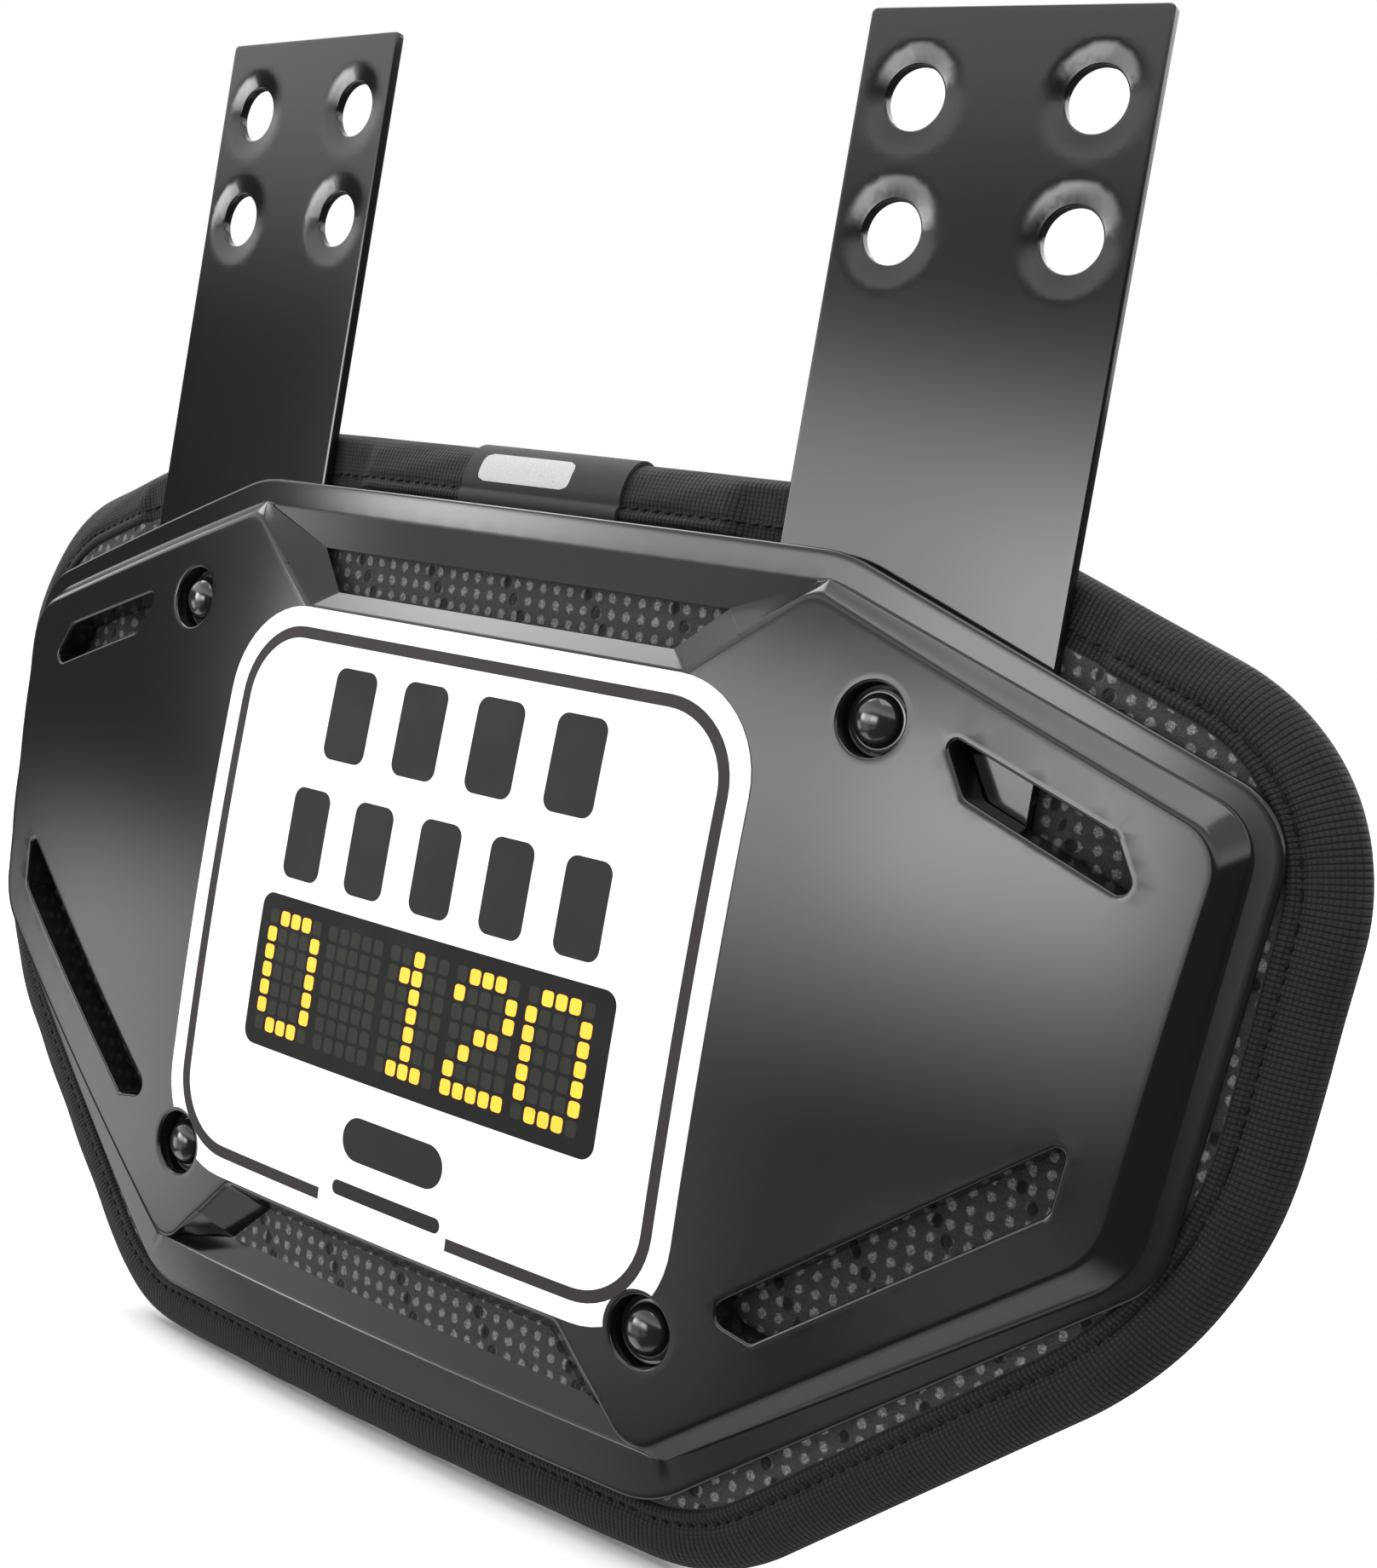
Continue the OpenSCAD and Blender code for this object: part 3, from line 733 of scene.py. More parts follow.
def face_cups(sketch, back, dome, mouth=0.45, heel=0.35):
    """The cups that hold the posts' heads, rounded at the mouth and at the floor.
    Returns the outlines that the face leaves open, and the bores' edges."""
    wall = CUP_R + CUP_WALL * back
    deep = CUP_FLOOR * back
    guards, bores = [], []
    for place in post_places():
        side, x, z, yaw = place
        # the tilted axis carries the mouth this far from the floor's middle
        shift = math.sin(yaw) * CUP_DEPTH * side
        flat = on_axis(place, wall + mouth, 0)[:, [0, 2]] + [shift, 0]
        inner = on_axis(place, wall, 0)[:, [0, 2]] + [shift, 0]
        guards.append((flat - [x + shift, z]) * (1 + (0.9 - 0.5 * back) / wall) + [x + shift, z])
        level = dome(flat[:, 0], flat[:, 1])
        rows = [lifted(guards[-1], dome), lifted(flat, level)]
        for t in () if back else (0.35, 0.7):
            a = t * math.pi / 2
            rows.append(lifted(flat + (inner - flat) * math.sin(a), level + mouth * (1 - math.cos(a))))
        rows.append(lifted(inner, level + mouth * (1 - back)))
        rows.append(on_axis(place, wall, deep - heel * (1 - back)))
        if not back:
            rows.append(on_axis(place, wall - heel, deep))
        rows.append(on_axis(place, POST_BORE, deep))
        sketch.strips(rows)
        bores.append(rows[-1])
    return guards, bores


def window_facets(sketch, back, across=60, down=8):
    """The facets between the lip's folds and the windows' long edges.
    Returns those edges in space, and the folds as plane rows of points."""
    s = np.linspace(-1, 1, across + 1)
    edges, folds = [], []
    for fold, corner in ((FOLD_TOP, WINDOW_TOP), (FOLD_LOW, WINDOW_LOW)):
        upper, lower = (np.stack([s * p[0], np.full(across + 1, p[1])], 1) for p in (fold, corner))
        y_up = lip_y(upper[:, 0], 0) + LIP_T * back
        y_low = window_y(lower[:, 0], lower[:, 1]) + TRAY_T * back
        facet = [lifted(upper + (lower - upper) * t, y_up + (y_low - y_up) * t)
                 for t in np.linspace(0, 1, down + 1)]
        sketch.strips(facet, closed=False)
        edges.append(facet[-1])
        folds.append(upper)
    return edges, folds


def lip_sheet(sketch, back, low_edge, folds, edge=0.6):
    """The lip, from the crease and the folds out to its rounded rim. Returns the rim."""
    rim = tidy_loop(outline(mirrored(RIM), spacing=1.6)[0])
    guard, base = shifted(rim, edge + 0.8), shifted(rim, edge)
    rows = [lifted(guard, lip_y(guard[:, 0], 0) + LIP_T * back)]
    level = lip_y(base[:, 0], 0) + LIP_T * back
    side = -1 if back else 1
    rows += [lifted(shifted(rim, edge * inset), level + side * edge * drop) for inset, drop in quarter(3)]
    sketch.strips(rows)
    flat_low = low_edge[:, [0, 2]]
    right_side, left_side = (flat_low[flat_low[:, 0] * sign >= SIDE_X - 0.1] for sign in (1, -1))
    fold_top, fold_low = folds
    inner = tidy_loop(np.concatenate([right_side, fold_top[-2:0:-1], left_side, fold_low[1:-1]]))
    verts, faces = fill(guard, [inner], 5.0)
    sketch.add(lifted(verts, lambda x, z: lip_y(x, z) + LIP_T * back), faces)
    return rows[-1]


def shell_skin(sketch, back):
    """One side of the shell. back is 0 for the face and 1 for the hidden side. Returns its open
    edges: rim, slot ends, post bores, the windows' long edges and the crease."""
    def dome(x, z):
        return face_y(x, z) + SKIN_T * back

    wall, crease = face_wall(sketch, back, dome)
    slot_guards, ends = face_slots(sketch, back, dome)
    cup_guards, bores = face_cups(sketch, back, dome)
    verts, faces = fill(tidy_loop(wall[0][:, [0, 2]]), slot_guards + cup_guards, 4.0)
    sketch.add(lifted(verts, dome), faces)
    edges, folds = window_facets(sketch, back)
    rim = lip_sheet(sketch, back, wall[-1], folds)
    return rim, ends, bores, edges, crease


def make_shell():
    """The dome, its lip and the hoods over the windows, closed between both sides."""
    sketch = Sketch()
    front, rear = shell_skin(sketch, 0), shell_skin(sketch, 1)
    rims, ends, bores, edges, creases = zip(front, rear)
    sketch.strips(rims)
    for pair in [*zip(*ends), *zip(*bores)]:
        sketch.strips(pair)
    for pair in zip(*edges):
        sketch.strips(pair, closed=False)
    crease = creases[0]
    for sign in (1, -1):
        in_window = (np.abs(crease[:, 0]) < WINDOW_TOP[0] + 0.2) & (crease[:, 2] * sign > 0)
        index = np.where(in_window)[0]
        if sign < 0:
            # the run through the bottom crosses the loop's start
            split = int(np.where(np.diff(index) > 1)[0][0]) + 1
            index = np.roll(index, -split)
        sketch.strips([side[index] for side in creases], closed=False)
    shell = sketch.build("shell_body", [SHELL], sharp=50)
    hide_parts("front_shell")


make_shell()


# ---- sign ----
def on_face(lift):
    """The y function of a surface that lies lift before the face."""
    return lambda x, z: face_y(x, z) - lift


def rounded_box(x, z, w, h, r, steps=8, spacing=3.0):
    corners = [(x + i * w / 2, z + j * h / 2, r) for i, j in ((-1, -1), (1, -1), (1, 1), (-1, 1))]
    return tidy_loop(outline(corners, steps=steps, spacing=spacing)[0])


def print_layer(name, loops, lift, material, thick=0.04, spacing=5.0):
    """Ink: thin plates that lie on the film."""
    sketch = Sketch()
    for loop in loops:
        verts, faces = fill(loop, (), spacing)
        sketch.add(lifted(verts, on_face(lift + thick)), faces)
        sketch.strips([lifted(loop, on_face(lift + thick)), lifted(loop, on_face(lift - 0.02))])
    obj = sketch.build(name, [material], weighted=False, sharp=60)


def make_film():
    """The film, which stops short of the two lower cups."""
    sketch = Sketch()
    border = rounded_box(0, SIGN_Z, SIGN_W, SIGN_H, 17, steps=12, spacing=2.0)
    cups = np.array([(side * LOWER_POST[0], LOWER_POST[1]) for side in (-1, 1)], float)
    loop = bitten(border, cups, CUP_R + 0.9)
    slab(sketch, loop, [], on_face(FILM_T), on_face(-0.02), edge=0.12, steps=2, spacing=4.0, guard=0.5)
    obj = sketch.build("sign_printed_film", [FILM], sharp=60)
    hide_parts("sign_film")


def bitten(loop, centres, r, steps=15):
    """A counter-clockwise outline with a round bite where a circle overlaps it."""
    def outside(p):
        return min(np.linalg.norm(p - c) for c in centres) >= r

    out = []
    for p, q in zip(loop, np.roll(loop, -1, 0)):
        if outside(p):
            out.append(p)
        if outside(p) == outside(q):
            continue
        lo, hi = 0.0, 1.0
        for _ in range(30):
            mid = (lo + hi) / 2
            if outside(p + (q - p) * mid) == outside(p):
                lo = mid
            else:
                hi = mid
        crossing = p + (q - p) * lo
        if outside(p):
            entry = crossing
            out.append(entry)
        else:
            # clockwise round the circle, from where the outline entered it
            c = min(centres, key=lambda k: np.linalg.norm(k - crossing))
            first, last = (math.atan2(*(point - c)[::-1]) for point in (entry, crossing))
            turn = (last - first) % (2 * math.pi) - 2 * math.pi
            for t in np.linspace(0, 1, steps + 1)[1:]:
                a = first + turn * t
                out.append(c + r * np.array([math.cos(a), math.sin(a)]))
    return np.array(out)


def ribbon(path, width):
    """An open path as a closed outline of that width."""
    ahead = np.gradient(path, axis=0)
    normal = np.stack([-ahead[:, 1], ahead[:, 0]], 1) / np.linalg.norm(ahead, axis=1)[:, None]
    loop = np.concatenate([path - normal * width / 2, (path + normal * width / 2)[::-1]])
    return loop if area(loop) > 0 else loop[::-1]


def border_path(gap=31.0, margin=4.6):
    """The border line's middle, open at the bottom."""
    loop = rounded_box(0, SIGN_Z, SIGN_W - 2 * margin, SIGN_H - 2 * margin, 13, steps=12, spacing=2.0)
    low = loop[:, 1].min()
    in_gap = np.where((loop[:, 1] < low + 0.2) & (np.abs(loop[:, 0]) < gap / 2))[0]
    path = np.roll(loop, -in_gap[-1] - 1, 0)[:len(loop) - len(in_gap)]
    return np.concatenate([[[gap / 2, low]], path, [[-gap / 2, low]]])


def bars(count, left, z, pitch, width, height=16.3, r=2.2):
    """A row of plain bars, in place of a printed word."""
    return [rounded_box(left + pitch * i, z, width, height, r) for i in range(count)]


GLYPHS = {
    "0": ("01110", "10001", "10001", "10001", "10001", "10001", "01110"),
    "1": ("00100", "01100", "00100", "00100", "00100", "00100", "01110"),
    "2": ("01110", "10001", "00001", "00110", "01000", "10000", "11111"),
    " ": ("00000",) * 7,
}


def lamp_cells(text="0 120", left=-36.6, top=-3.2, pitch=(2.88, 3.2), cell=15.8, size=(2.3, 2.6)):
    """Loops of the lit and the unlit lamps of a dot display."""
    lit, dim = [], []
    for k, char in enumerate(text):
        for row, line in enumerate(GLYPHS[char]):
            for column, on in enumerate(line):
                x, z = left + k * cell + column * pitch[0], top - row * pitch[1]
                (lit if on == "1" else dim).append(rounded_box(x, z, *size, 0.6, steps=3, spacing=3))
    return lit, dim


def make_print():
    """The graphic's layers: a border, rows of bars, the dot display and two plain marks."""
    lit, dim = lamp_cells()
    print_layer("sign_border_line", [ribbon(border_path(), 2.1)], FILM_T, LINE)
    words = bars(4, -26.4, 34.4, 17.6, 10.5) + bars(5, -32, 12.3, 16.3, 9.5)
    print_layer("sign_word_bars", words, FILM_T, INK)
    print_layer("sign_lamp_panel", [rounded_box(1.4, -12.9, 83.5, 27.4, 2.6)], FILM_T, PANEL)
    # the lit cells are amber print with a painted glow
    print_layer("sign_lit_lamps_painted_glow", lit, FILM_T + 0.04, AMBER_INK_PAINTED_GLOW, thick=0.05)
    print_layer("sign_dim_lamps", dim, FILM_T + 0.04, DIM, thick=0.03)
    marks = [rounded_box(0.8, -36.4, 24, 7.6, 3.7), rounded_box(0.8, -45.6, 26, 2.6, 1.2)]
    print_layer("sign_plain_marks", marks, FILM_T, INK)


make_film()
make_print()


# ---- pad ----
def seam_loop(d, spacing=1.6):
    return tidy_loop(outline(inset_corners(mirrored(SEAM), d), spacing=spacing)[0])


CORE = seam_loop(HEM)


def post_bores(r, count=40):
    return [ring(x, z, r, count) for _, x, z, _ in post_places()]


def make_pad_front():
    """Spacer mesh over foam, dished at the edge by the binding and pressed in by the straps."""
    sketch = Sketch()

    def front(x, z):
        edge = distance_to(np.stack([x, z], 1), CORE)
        y = pad_y(x, 0.35 * np.exp(-edge / 3.0) - 0.25 * smooth_step(edge / 14))
        return pressed(x, z, y)

    def back(x, z):
        return pad_y(x, CARRIER - 0.05)

    slab(sketch, CORE, post_bores(7.0), front, back, edge=0.4, steps=2, spacing=2.6, guard=0.8, wall_slot=1)
    obj = sketch.build("pad_front_mesh", [MESH, FOAM], sharp=60, weighted=False)
    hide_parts("mesh_face", "front_foam")


make_pad_front()

HEX_PITCH, HEX_DROP = 17.5, -1.5
POD_RISE = 1.5
POD_INSET = 12.0                    # a pod's middle from the seam, at least
POD_CLEAR = 9 + 15 / math.sqrt(3)   # a pod's middle from a post's, at least


def hex_quilt(x, z):
    """Height of the quilted pods, 1 on a pod and 0 in the seams between them."""
    rise = HEX_PITCH * math.sqrt(3) / 2
    best_x, best_z, best = np.zeros_like(x), np.zeros_like(x), np.full(x.shape, np.inf)
    for odd in (0, 1):
        row = np.round(((z - HEX_DROP) / rise - odd) / 2) * 2 + odd
        cz = row * rise + HEX_DROP
        column = np.round(x / HEX_PITCH - odd / 2)
        cx = (column + odd / 2) * HEX_PITCH
        d = np.hypot(x - cx, z - cz)
        nearer = d < best
        best_x, best_z = np.where(nearer, cx, best_x), np.where(nearer, cz, best_z)
        best = np.minimum(d, best)
    dx, dz = np.abs(x - best_x), np.abs(z - best_z)
    across = np.maximum(dx, dx / 2 + dz * math.sqrt(3) / 2)
    pod = smooth_step((HEX_PITCH / 2 - across) / 3.6)
    ok = inside(np.stack([best_x, best_z], 1), seam_loop(POD_INSET, 4.0))
    for _, px, pz, _ in post_places():
        ok &= np.hypot(best_x - px, best_z - pz) > POD_CLEAR
    return pod * ok


def make_pad_rear():
    """Rear foam and pods under one quilted liner."""
    sketch = Sketch()

    def back(x, z):
        edge = distance_to(np.stack([x, z], 1), CORE)
        swell = POD_RISE * hex_quilt(x, z) - POD_RISE - 0.8 * np.exp(-edge / 4.0)
        holes = np.min([np.hypot(x - px, z - pz) for _, px, pz, _ in post_places()], axis=0)
        swell = swell - 0.6 * np.exp(-np.maximum(holes - 6.0, 0) / 2.0)
        return pad_y(x, PAD_T + swell)

    def front(x, z):
        return pad_y(x, FOAM_BACK + 0.05)

    slab(sketch, CORE, post_bores(6.0), front, back, edge=0.5, steps=2, spacing=1.7, guard=0.8, wall_slot=1)
    obj = sketch.build("pad_rear_quilt", [LINER, FOAM], sharp=60, weighted=False)
    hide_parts("rear_foam", "hex_pods", "rear_liner")


make_pad_rear()


# ---- binding, its stitches and the tab ----
def binding_profile(count=44):
    """(how far outside the seam, how far behind the pad's front), hem to hem over the edge."""
    t = np.linspace(0, 1, count)
    a = math.pi * (t - 0.11 * np.sin(2 * math.pi * t))
    out = -HEM + (HEM + BINDING) * np.sin(a) ** 0.8
    back = 4.9 - 5.1 * np.cos(a)
    # sewn down along the seam, with a small hem roll inside it
    nip = 0.45 * np.exp(-(out / 0.8) ** 2) - 0.3 * np.exp(-((out + 1.3) / 0.6) ** 2)
    back = back + nip * np.cos(a)
    return np.stack([out, back], 1)


def seam_frame(spacing=1.3):
    """The seam's points, the directions out of the pad, and the length along it to each point."""
    loop = tidy_loop(outline(mirrored(SEAM), steps=24, spacing=spacing)[0])
    steps = np.linalg.norm(np.diff(loop, axis=0), axis=1)
    return loop, -left_normals(loop), np.concatenate([[0], np.cumsum(steps)])


def binding_point(base, normal, out, back):
    """Points that lie out beyond the seam and back behind the pad's front."""
    flat = base + normal * out
    return np.stack([flat[:, 0], pad_y(flat[:, 0], back), flat[:, 1]], 1)


def make_binding(spacing=1.3):
    """The folded tape round the pad's edge, pressed in by the straps."""
    loop, normal, length = seam_frame(spacing)
    profile = binding_profile()
    rows = []
    for k, (out, back) in enumerate(profile):
        points = binding_point(loop, normal, out, back)
        puff = 0.12 * np.sin(length / 3.1 + k * 0.7) * math.sin(math.pi * k / (len(profile) - 1))
        points[:, 1] = pressed(points[:, 0], points[:, 2], points[:, 1] + puff)
        rows.append(points)
    # inner side, against the pad's core
    core_back = binding_point(loop, normal, -HEM - 0.3, 9.0)
    core_front = binding_point(loop, normal, -HEM - 0.3, 1.0)
    core_front[:, 1] = pressed(core_front[:, 0], core_front[:, 2], core_front[:, 1] + 0.6)
    sketch = Sketch()
    sketch.strips(rows + [core_back, core_front, rows[0]])
    obj = sketch.build("edge_binding_roll", [TAPE], sharp=70, weighted=False)

    # UVs in metres: u along the edge, v across the tape
    uv = obj.data.uv_layers.new(name="tape")
    points = np.array([v.co for v in obj.data.vertices]) / MM
    flat = points[:, [0, 2]]
    nearest = np.argmin(((flat[:, None] - loop[None]) ** 2).sum(2), axis=1)
    side = ((flat - loop[nearest]) * normal[nearest]).sum(1)
    on_front = points[:, 1] - pad_y(points[:, 0], 0) < 4.9
    spread = np.where(on_front, side, 2 * BINDING - side + 6)
    for poly in obj.data.polygons:
        us = [length[nearest[v]] for v in poly.vertices]
        wraps = max(us) - min(us) > length[-1] / 2
        for corner, v, u in zip(poly.loop_indices, poly.vertices, us):
            if wraps and u < length[-1] / 2:
                u += length[-1] + spacing
            uv.data[corner].uv = (u * MM, spread[v] * MM)
    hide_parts("edge_binding")


make_binding()


def make_stitches(pitch=2.3, dash=1.7, r=0.3, sides=6, cuts=5):
    """Lock stitches along the seam, front and rear, as short thread capsules."""
    loop, normal, length = seam_frame(0.4)
    profile = binding_profile()
    half = len(profile) // 2
    front_back = np.interp(0.0, profile[:half, 0], profile[:half, 1])
    rear_back = np.interp(0.0, profile[half:, 0][::-1], profile[half:, 1][::-1])
    a = np.linspace(0, 2 * math.pi, sides, endpoint=False)
    sketch = Sketch()
    for back, sign in ((front_back, -1), (rear_back, 1)):
        for k in range(int(length[-1] / pitch)):
            rows = []
            for t in np.linspace(0, 1, cuts):
                s = (k + 0.5) * pitch + (t - 0.5) * dash
                i = min(int(np.searchsorted(length, s)), len(loop) - 1)
                p, away = loop[i], normal[i]
                y = pad_y(p[0], back) + sign * 0.1 - sign * 0.28 * (2 * t - 1) ** 2
                if sign < 0:
                    y = pressed(p[:1], p[1:], np.array([y]), clear=0.28)[0]
                fat = r * (1 - 0.75 * abs(2 * t - 1) ** 3)
                rows.append(np.stack([p[0] + away[0] * fat * np.cos(a), y + fat * np.sin(a),
                                      p[1] + away[1] * fat * np.cos(a)], 1))
            sketch.strips(rows)
            for end in (rows[0], rows[-1]):
                sketch.add(end, [tuple(range(sides))])
    obj = sketch.build("binding_stitches", [THREAD], sharp=70, weighted=False, weld=0.0005)


make_stitches()

TAB_T = 0.7


def tab_rows(all_xs, profile, lift):
    """Rows of points over the pad's top edge, lift above the binding. Each row has its own xs."""
    away = np.stack([np.gradient(profile[:, 0]), np.gradient(profile[:, 1])], 1)
    away /= np.linalg.norm(away, axis=1)[:, None]
    raised = profile + np.stack([away[:, 1], -away[:, 0]], 1) * lift
    return [np.stack([xs, pad_y(xs, back), np.full(len(xs), SEAM_TOP + out)], 1)
            for xs, (out, back) in zip(all_xs, raised)]


def make_tab(x0=-16.0, x1=20.0):
    """A woven tab folded over the binding, caught in the seam on both sides."""
    profile = binding_profile()
    all_xs = [np.linspace(x0, x1, 25)] * len(profile)
    outer, inner = (tab_rows(all_xs, profile, lift) for lift in (TAB_T, 0.12))
    sketch = Sketch()
    for rows in (outer, inner, [outer[0], inner[0]], [outer[-1], inner[-1]]):
        sketch.strips(rows, closed=False)
    for end in (0, -1):
        sketch.strips([np.array([row[end] for row in rows]) for rows in (outer, inner)], closed=False)
    obj = sketch.build("woven_tab", [TAB], sharp=50, weighted=False)
    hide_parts("label_tab")


def make_tab_mark(x_mid=-2.0, half=10.5, low=1.4, high=6.0, corner=1.6):
    """A plain pale bar woven on the front of the tab, from low to high above the seam."""
    front = binding_profile()[:22]
    front = front[:int(np.argmax(front[:, 0])) + 1]
    out = np.linspace(low, high, 11)
    profile = np.stack([out, np.interp(out, front[:, 0], front[:, 1])], 1)
    all_xs = []
    for t in np.linspace(-1, 1, len(out)):
        side = half - corner * (1 - math.sqrt(max(1 - t ** 4, 0)))
        all_xs.append(np.linspace(x_mid - side, x_mid + side, 13))
    sketch = Sketch()
    rims = []
    for lift in (TAB_T + 0.06, TAB_T - 0.02):
        rows = tab_rows(all_xs, profile, lift)
        if not rims:
            sketch.strips(rows, closed=False)
        rims.append(np.concatenate([rows[0], [row[-1] for row in rows[1:-1]], rows[-1][::-1],
                                    [row[0] for row in rows[-2:0:-1]]]))
    sketch.strips(rims)
    obj = sketch.build("tab_mark", [TAB_MARK], sharp=50, weighted=False)


make_tab()
make_tab_mark()


# ---- straps ----
def make_strap(side, word):
    """A strap sheet with four mounting holes, each in a dished ring."""
    tilt = math.sin(STRAP_YAW)
    mid = side * (UPPER_POST[0] - tilt * (STRAP_DEPTH + STRAP_T / 2))
    half = STRAP_W / 2 * math.cos(STRAP_YAW)
    z_low = UPPER_POST[1] - STRAP_TAIL
    z_high = z_low + STRAP_LENGTH
    corners = [(mid - half, z_low, 1.2), (mid + half, z_low, 1.2),
               (mid + half, z_high, 1.0), (mid - half, z_high, 1.0)]
    outer = tidy_loop(outline(corners, steps=5, spacing=2.0)[0])
    # the mounting holes stand where the CAD's do, a touch nearer the middle
    hole_x = side * (UPPER_POST[0] - tilt * (STRAP_DEPTH + STRAP_T / 2 + DISH))
    centres = [(hole_x + i * HOLE_DX / 2, HOLE_CENTRE_Z + j * HOLE_DZ / 2)
               for i in (-1, 1) for j in (-1, 1)]
    bores = [ring(mid, UPPER_POST[1], 3.05, 40)] + [ring(x, z, HOLE_R, 56) for x, z in centres]

    def surface(depth):
        def y(x, z):
            d = np.min([np.hypot(x - cx, z - cz) for cx, cz in centres], axis=0)
            return strap_plane(x, depth) + DISH * (1 - smooth_step((d - HOLE_R - 0.1) / 3.2))
        return y

    sketch = Sketch()
    # points close enough to carry the dished rings
    slab(sketch, outer, bores, surface(STRAP_DEPTH), surface(STRAP_DEPTH + STRAP_T), edge=0.35, steps=3,
         spacing=1.6, guard=0.5)
    obj = sketch.build(word + "_strap_sheet", [STRAP], body=word + "_hanger", sharp=60)
    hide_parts(word + "_strap")


make_strap(-1, "left")
make_strap(1, "right")


# ---- posts ----
def make_post(place, word, steps=15):
    """A lathed dome-headed post: (radius, depth behind the cup floor) from tip to tail."""
    flange, flange_t, head, head_h, shank = 4.9, 0.9, 4.1, 2.6, 3.0
    socket, socket_end = 1.65, 0.8
    tail = float(pad_y(place[1], CARRIER)) - float(face_y(place[1], place[2])) - CUP_DEPTH - 0.1
    profile = [(0.02, -flange_t - head_h)]
    for k in range(1, steps):
        a = math.pi / 2 * k / steps
        profile.append((head * math.sin(a) ** 0.9, -flange_t - head_h * math.cos(a)))
    profile += [(head, -flange_t - 0.12), (head + 0.12, -flange_t), (flange - 0.25, -flange_t),
                (flange - 0.07, -flange_t + 0.07), (flange, -flange_t + 0.25), (flange, -0.2),
                (flange - 0.2, 0), (shank, 0), (shank, tail - 0.2), (shank - 0.2, tail),
                (socket, tail), (socket, socket_end), (0.02, socket_end)]
    sketch = Sketch()
    sketch.strips([on_axis(place, r, depth, 64) for r, depth in profile])
    obj = sketch.build(word + "_dome_post", [POST], sharp=40)
    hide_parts(word + "_post")


for place in post_places():
    make_post(place, ("lower" if place[2] < 0 else "upper") + ("_left" if place[0] < 0 else "_right"))

# ---- nodes that keep the CAD's shape ----
KEPT = {"screw": SCREW, "friction_washer": WASHER, "strap_bush": SPACER, "spacer": SPACER,
        "carrier_plate": CARRIER_SHEET}
for node_name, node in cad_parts.items():
    for ending, material in KEPT.items():
        if node_name.endswith(ending):
            node.data.materials.clear()
            node.data.materials.append(material)

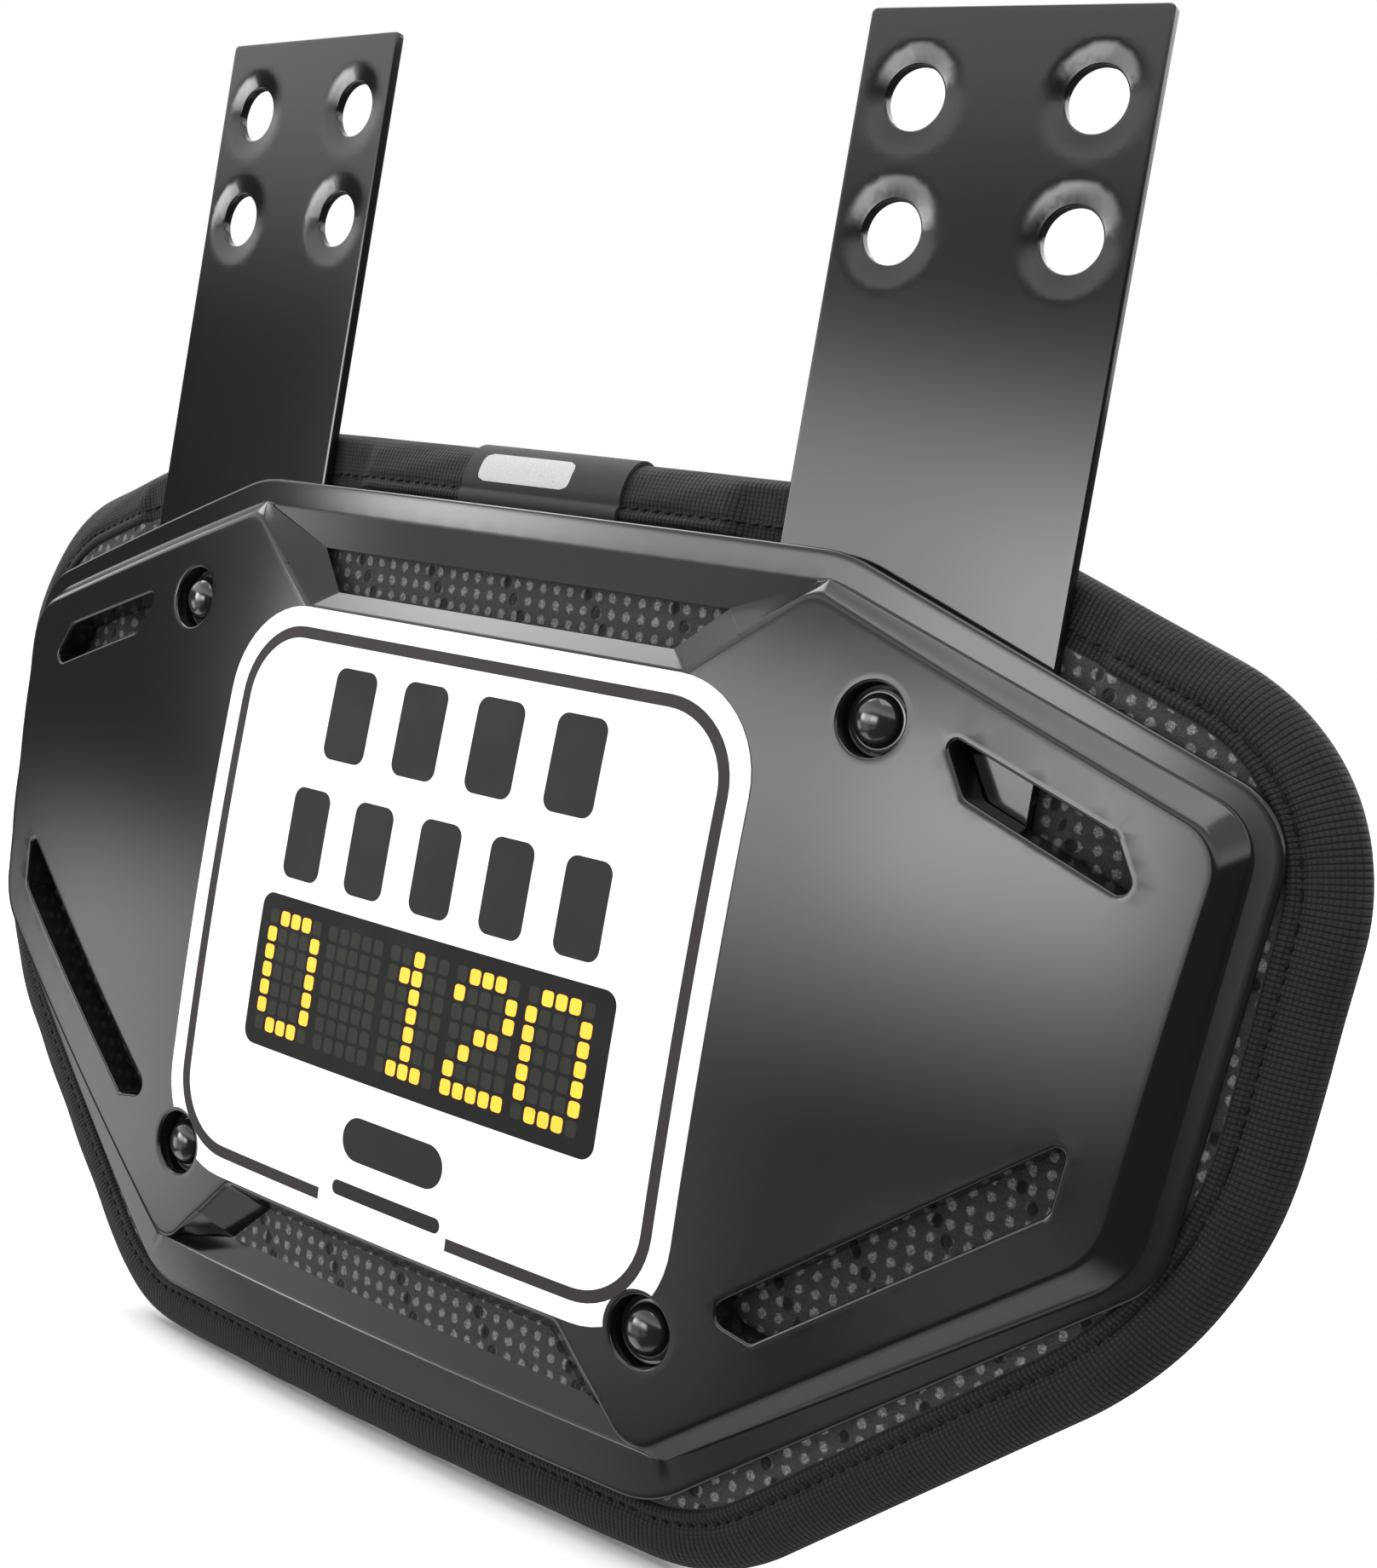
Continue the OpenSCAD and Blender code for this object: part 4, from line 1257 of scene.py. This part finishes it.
# ---- room, light and camera ----
def make_floor(pale=(0.92, 0.92, 0.92)):
    low = min(c[2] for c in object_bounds())
    bpy.ops.mesh.primitive_plane_add(size=8, location=(0, 0, low - 0.0005))
    floor = bpy.context.object
    floor.name = "floor"
    s = Shader("floor_pale", pale, 0.8)
    s.set("Base Color", s.mix(s.noise(120, 2), pale, tuple(c * 0.98 for c in pale)))
    floor.data.materials.append(s.material)
    # the glossy plastics mirror the dim side of the studio instead of the pale floor
    floor.visible_glossy = False
    floor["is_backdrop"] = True


def make_studio():
    """Background: white to the camera, and to all else a dim studio with soft boxes. Each box is
    (left of the front, elevation, brightness), in degrees, with soft edges of (start, full)."""
    world = bpy.data.worlds.new("studio")
    bpy.context.scene.world = world
    world.use_nodes = True
    g = Graph(world.node_tree)
    x, y, z = g.parts(g.node("TexCoord", out=0))
    from_front = g.maths("ARCTAN2", g.times(x, -1.0), g.times(y, -1.0))
    left = g.times(from_front, 180 / math.pi)
    height = g.times(g.maths("ARCSINE", z), 180 / math.pi)

    def band(value, start, full, fade, end):
        return g.times(g.ramp(value, start, full), g.ramp(value, end, fade))

    def box(sides, heights, level):
        inside_both = g.times(band(left, *sides), band(height, *heights))
        return g.times(inside_both, level)

    boxes = [box((2, 10, 49, 55), (-13, 2, 4.5, 10.5), 5.2),
             box((34, 47, 51, 56), (-6, 2, 8, 10.5), 5.5),
             box((6, 12, 20, 25), (-5, 0, 3.5, 7), 3.2),
             box((50, 58, 64, 76), (-27, -18, -10, -3), 2.6),
             box((20, 32, 46, 56), (-30, -22, -14, -8), 1.0),
             box((4, 10, 18, 25), (-23, -19, -15, -12.5), 0.7),
             box((30, 45, 75, 90), (-62, -52, -34, -28), 1.8),
             box((55, 72, 105, 125), (34, 44, 60, 74), 6.0)]
    # the dim horizon, which tilts down to the left, the bright sky, the pale ground, the dim zenith
    tilt = g.ramp(left, 0, 60, -5.8, 0.2)
    total = g.ramp(g.plus(height, tilt), 6, 13.5, 0.1, 1.9)
    total = g.plus(total, g.ramp(height, -45, -68, 0.0, 0.9))
    total = g.minus(total, g.ramp(height, 20, 40, 0.0, 0.75))
    for item in boxes:
        total = g.plus(total, item)
    to_camera = g.node("LightPath", out=0)
    background = g.tree.nodes["Background"].inputs
    g.join((1, 1, 1, 1), background[0])
    g.join(g.node("Mix", {0: to_camera, 2: total, 3: 1.0}), background[1])


def add_at(name, data, x, y, z, place):
    """An object that stands at a place, in metres, with its axes along x, y and z."""
    obj = bpy.data.objects.new(name, data)
    bpy.context.scene.collection.objects.link(obj)
    obj.matrix_world = Matrix([[x[i], y[i], z[i], place[i]] for i in range(3)] + [[0, 0, 0, 1]])
    return obj


def area_light(name, place, size, power):
    """A soft light aimed at the frame's origin."""
    light = bpy.data.lights.new(name, "AREA")
    light.shape = "RECTANGLE"
    light.size, light.size_y = size
    light.energy = power
    z = np.array(place, float) / np.linalg.norm(place)
    x = np.cross((0, 0, 1), z)
    x /= np.linalg.norm(x)
    add_at(name, light, x, np.cross(z, x), z, place)


def make_camera():
    """The photo's camera, worked out from measures of the object."""
    eye = np.array([264.28, -298.21, 53.91]) * MM
    right, up = (0.77517, 0.60852, 0.16975), (-0.16651, -0.06240, 0.98406)
    back = (0.60941, -0.79108, 0.05295)
    camera = bpy.data.cameras.new("camera")
    camera.lens, camera.sensor_width = 52.386, 36
    camera.clip_start, camera.clip_end = 0.01, 50
    bpy.context.scene.camera = add_at("camera", camera, right, up, back, eye)


make_floor()
make_camera()
make_studio()
area_light("overhead", (0.15, -0.2, 0.8), (0.7, 0.5), 3)
area_light("rear_fill", (0.2, 0.8, 0.5), (0.8, 0.6), 3)
bpy.context.scene.view_settings.view_transform = "Standard"
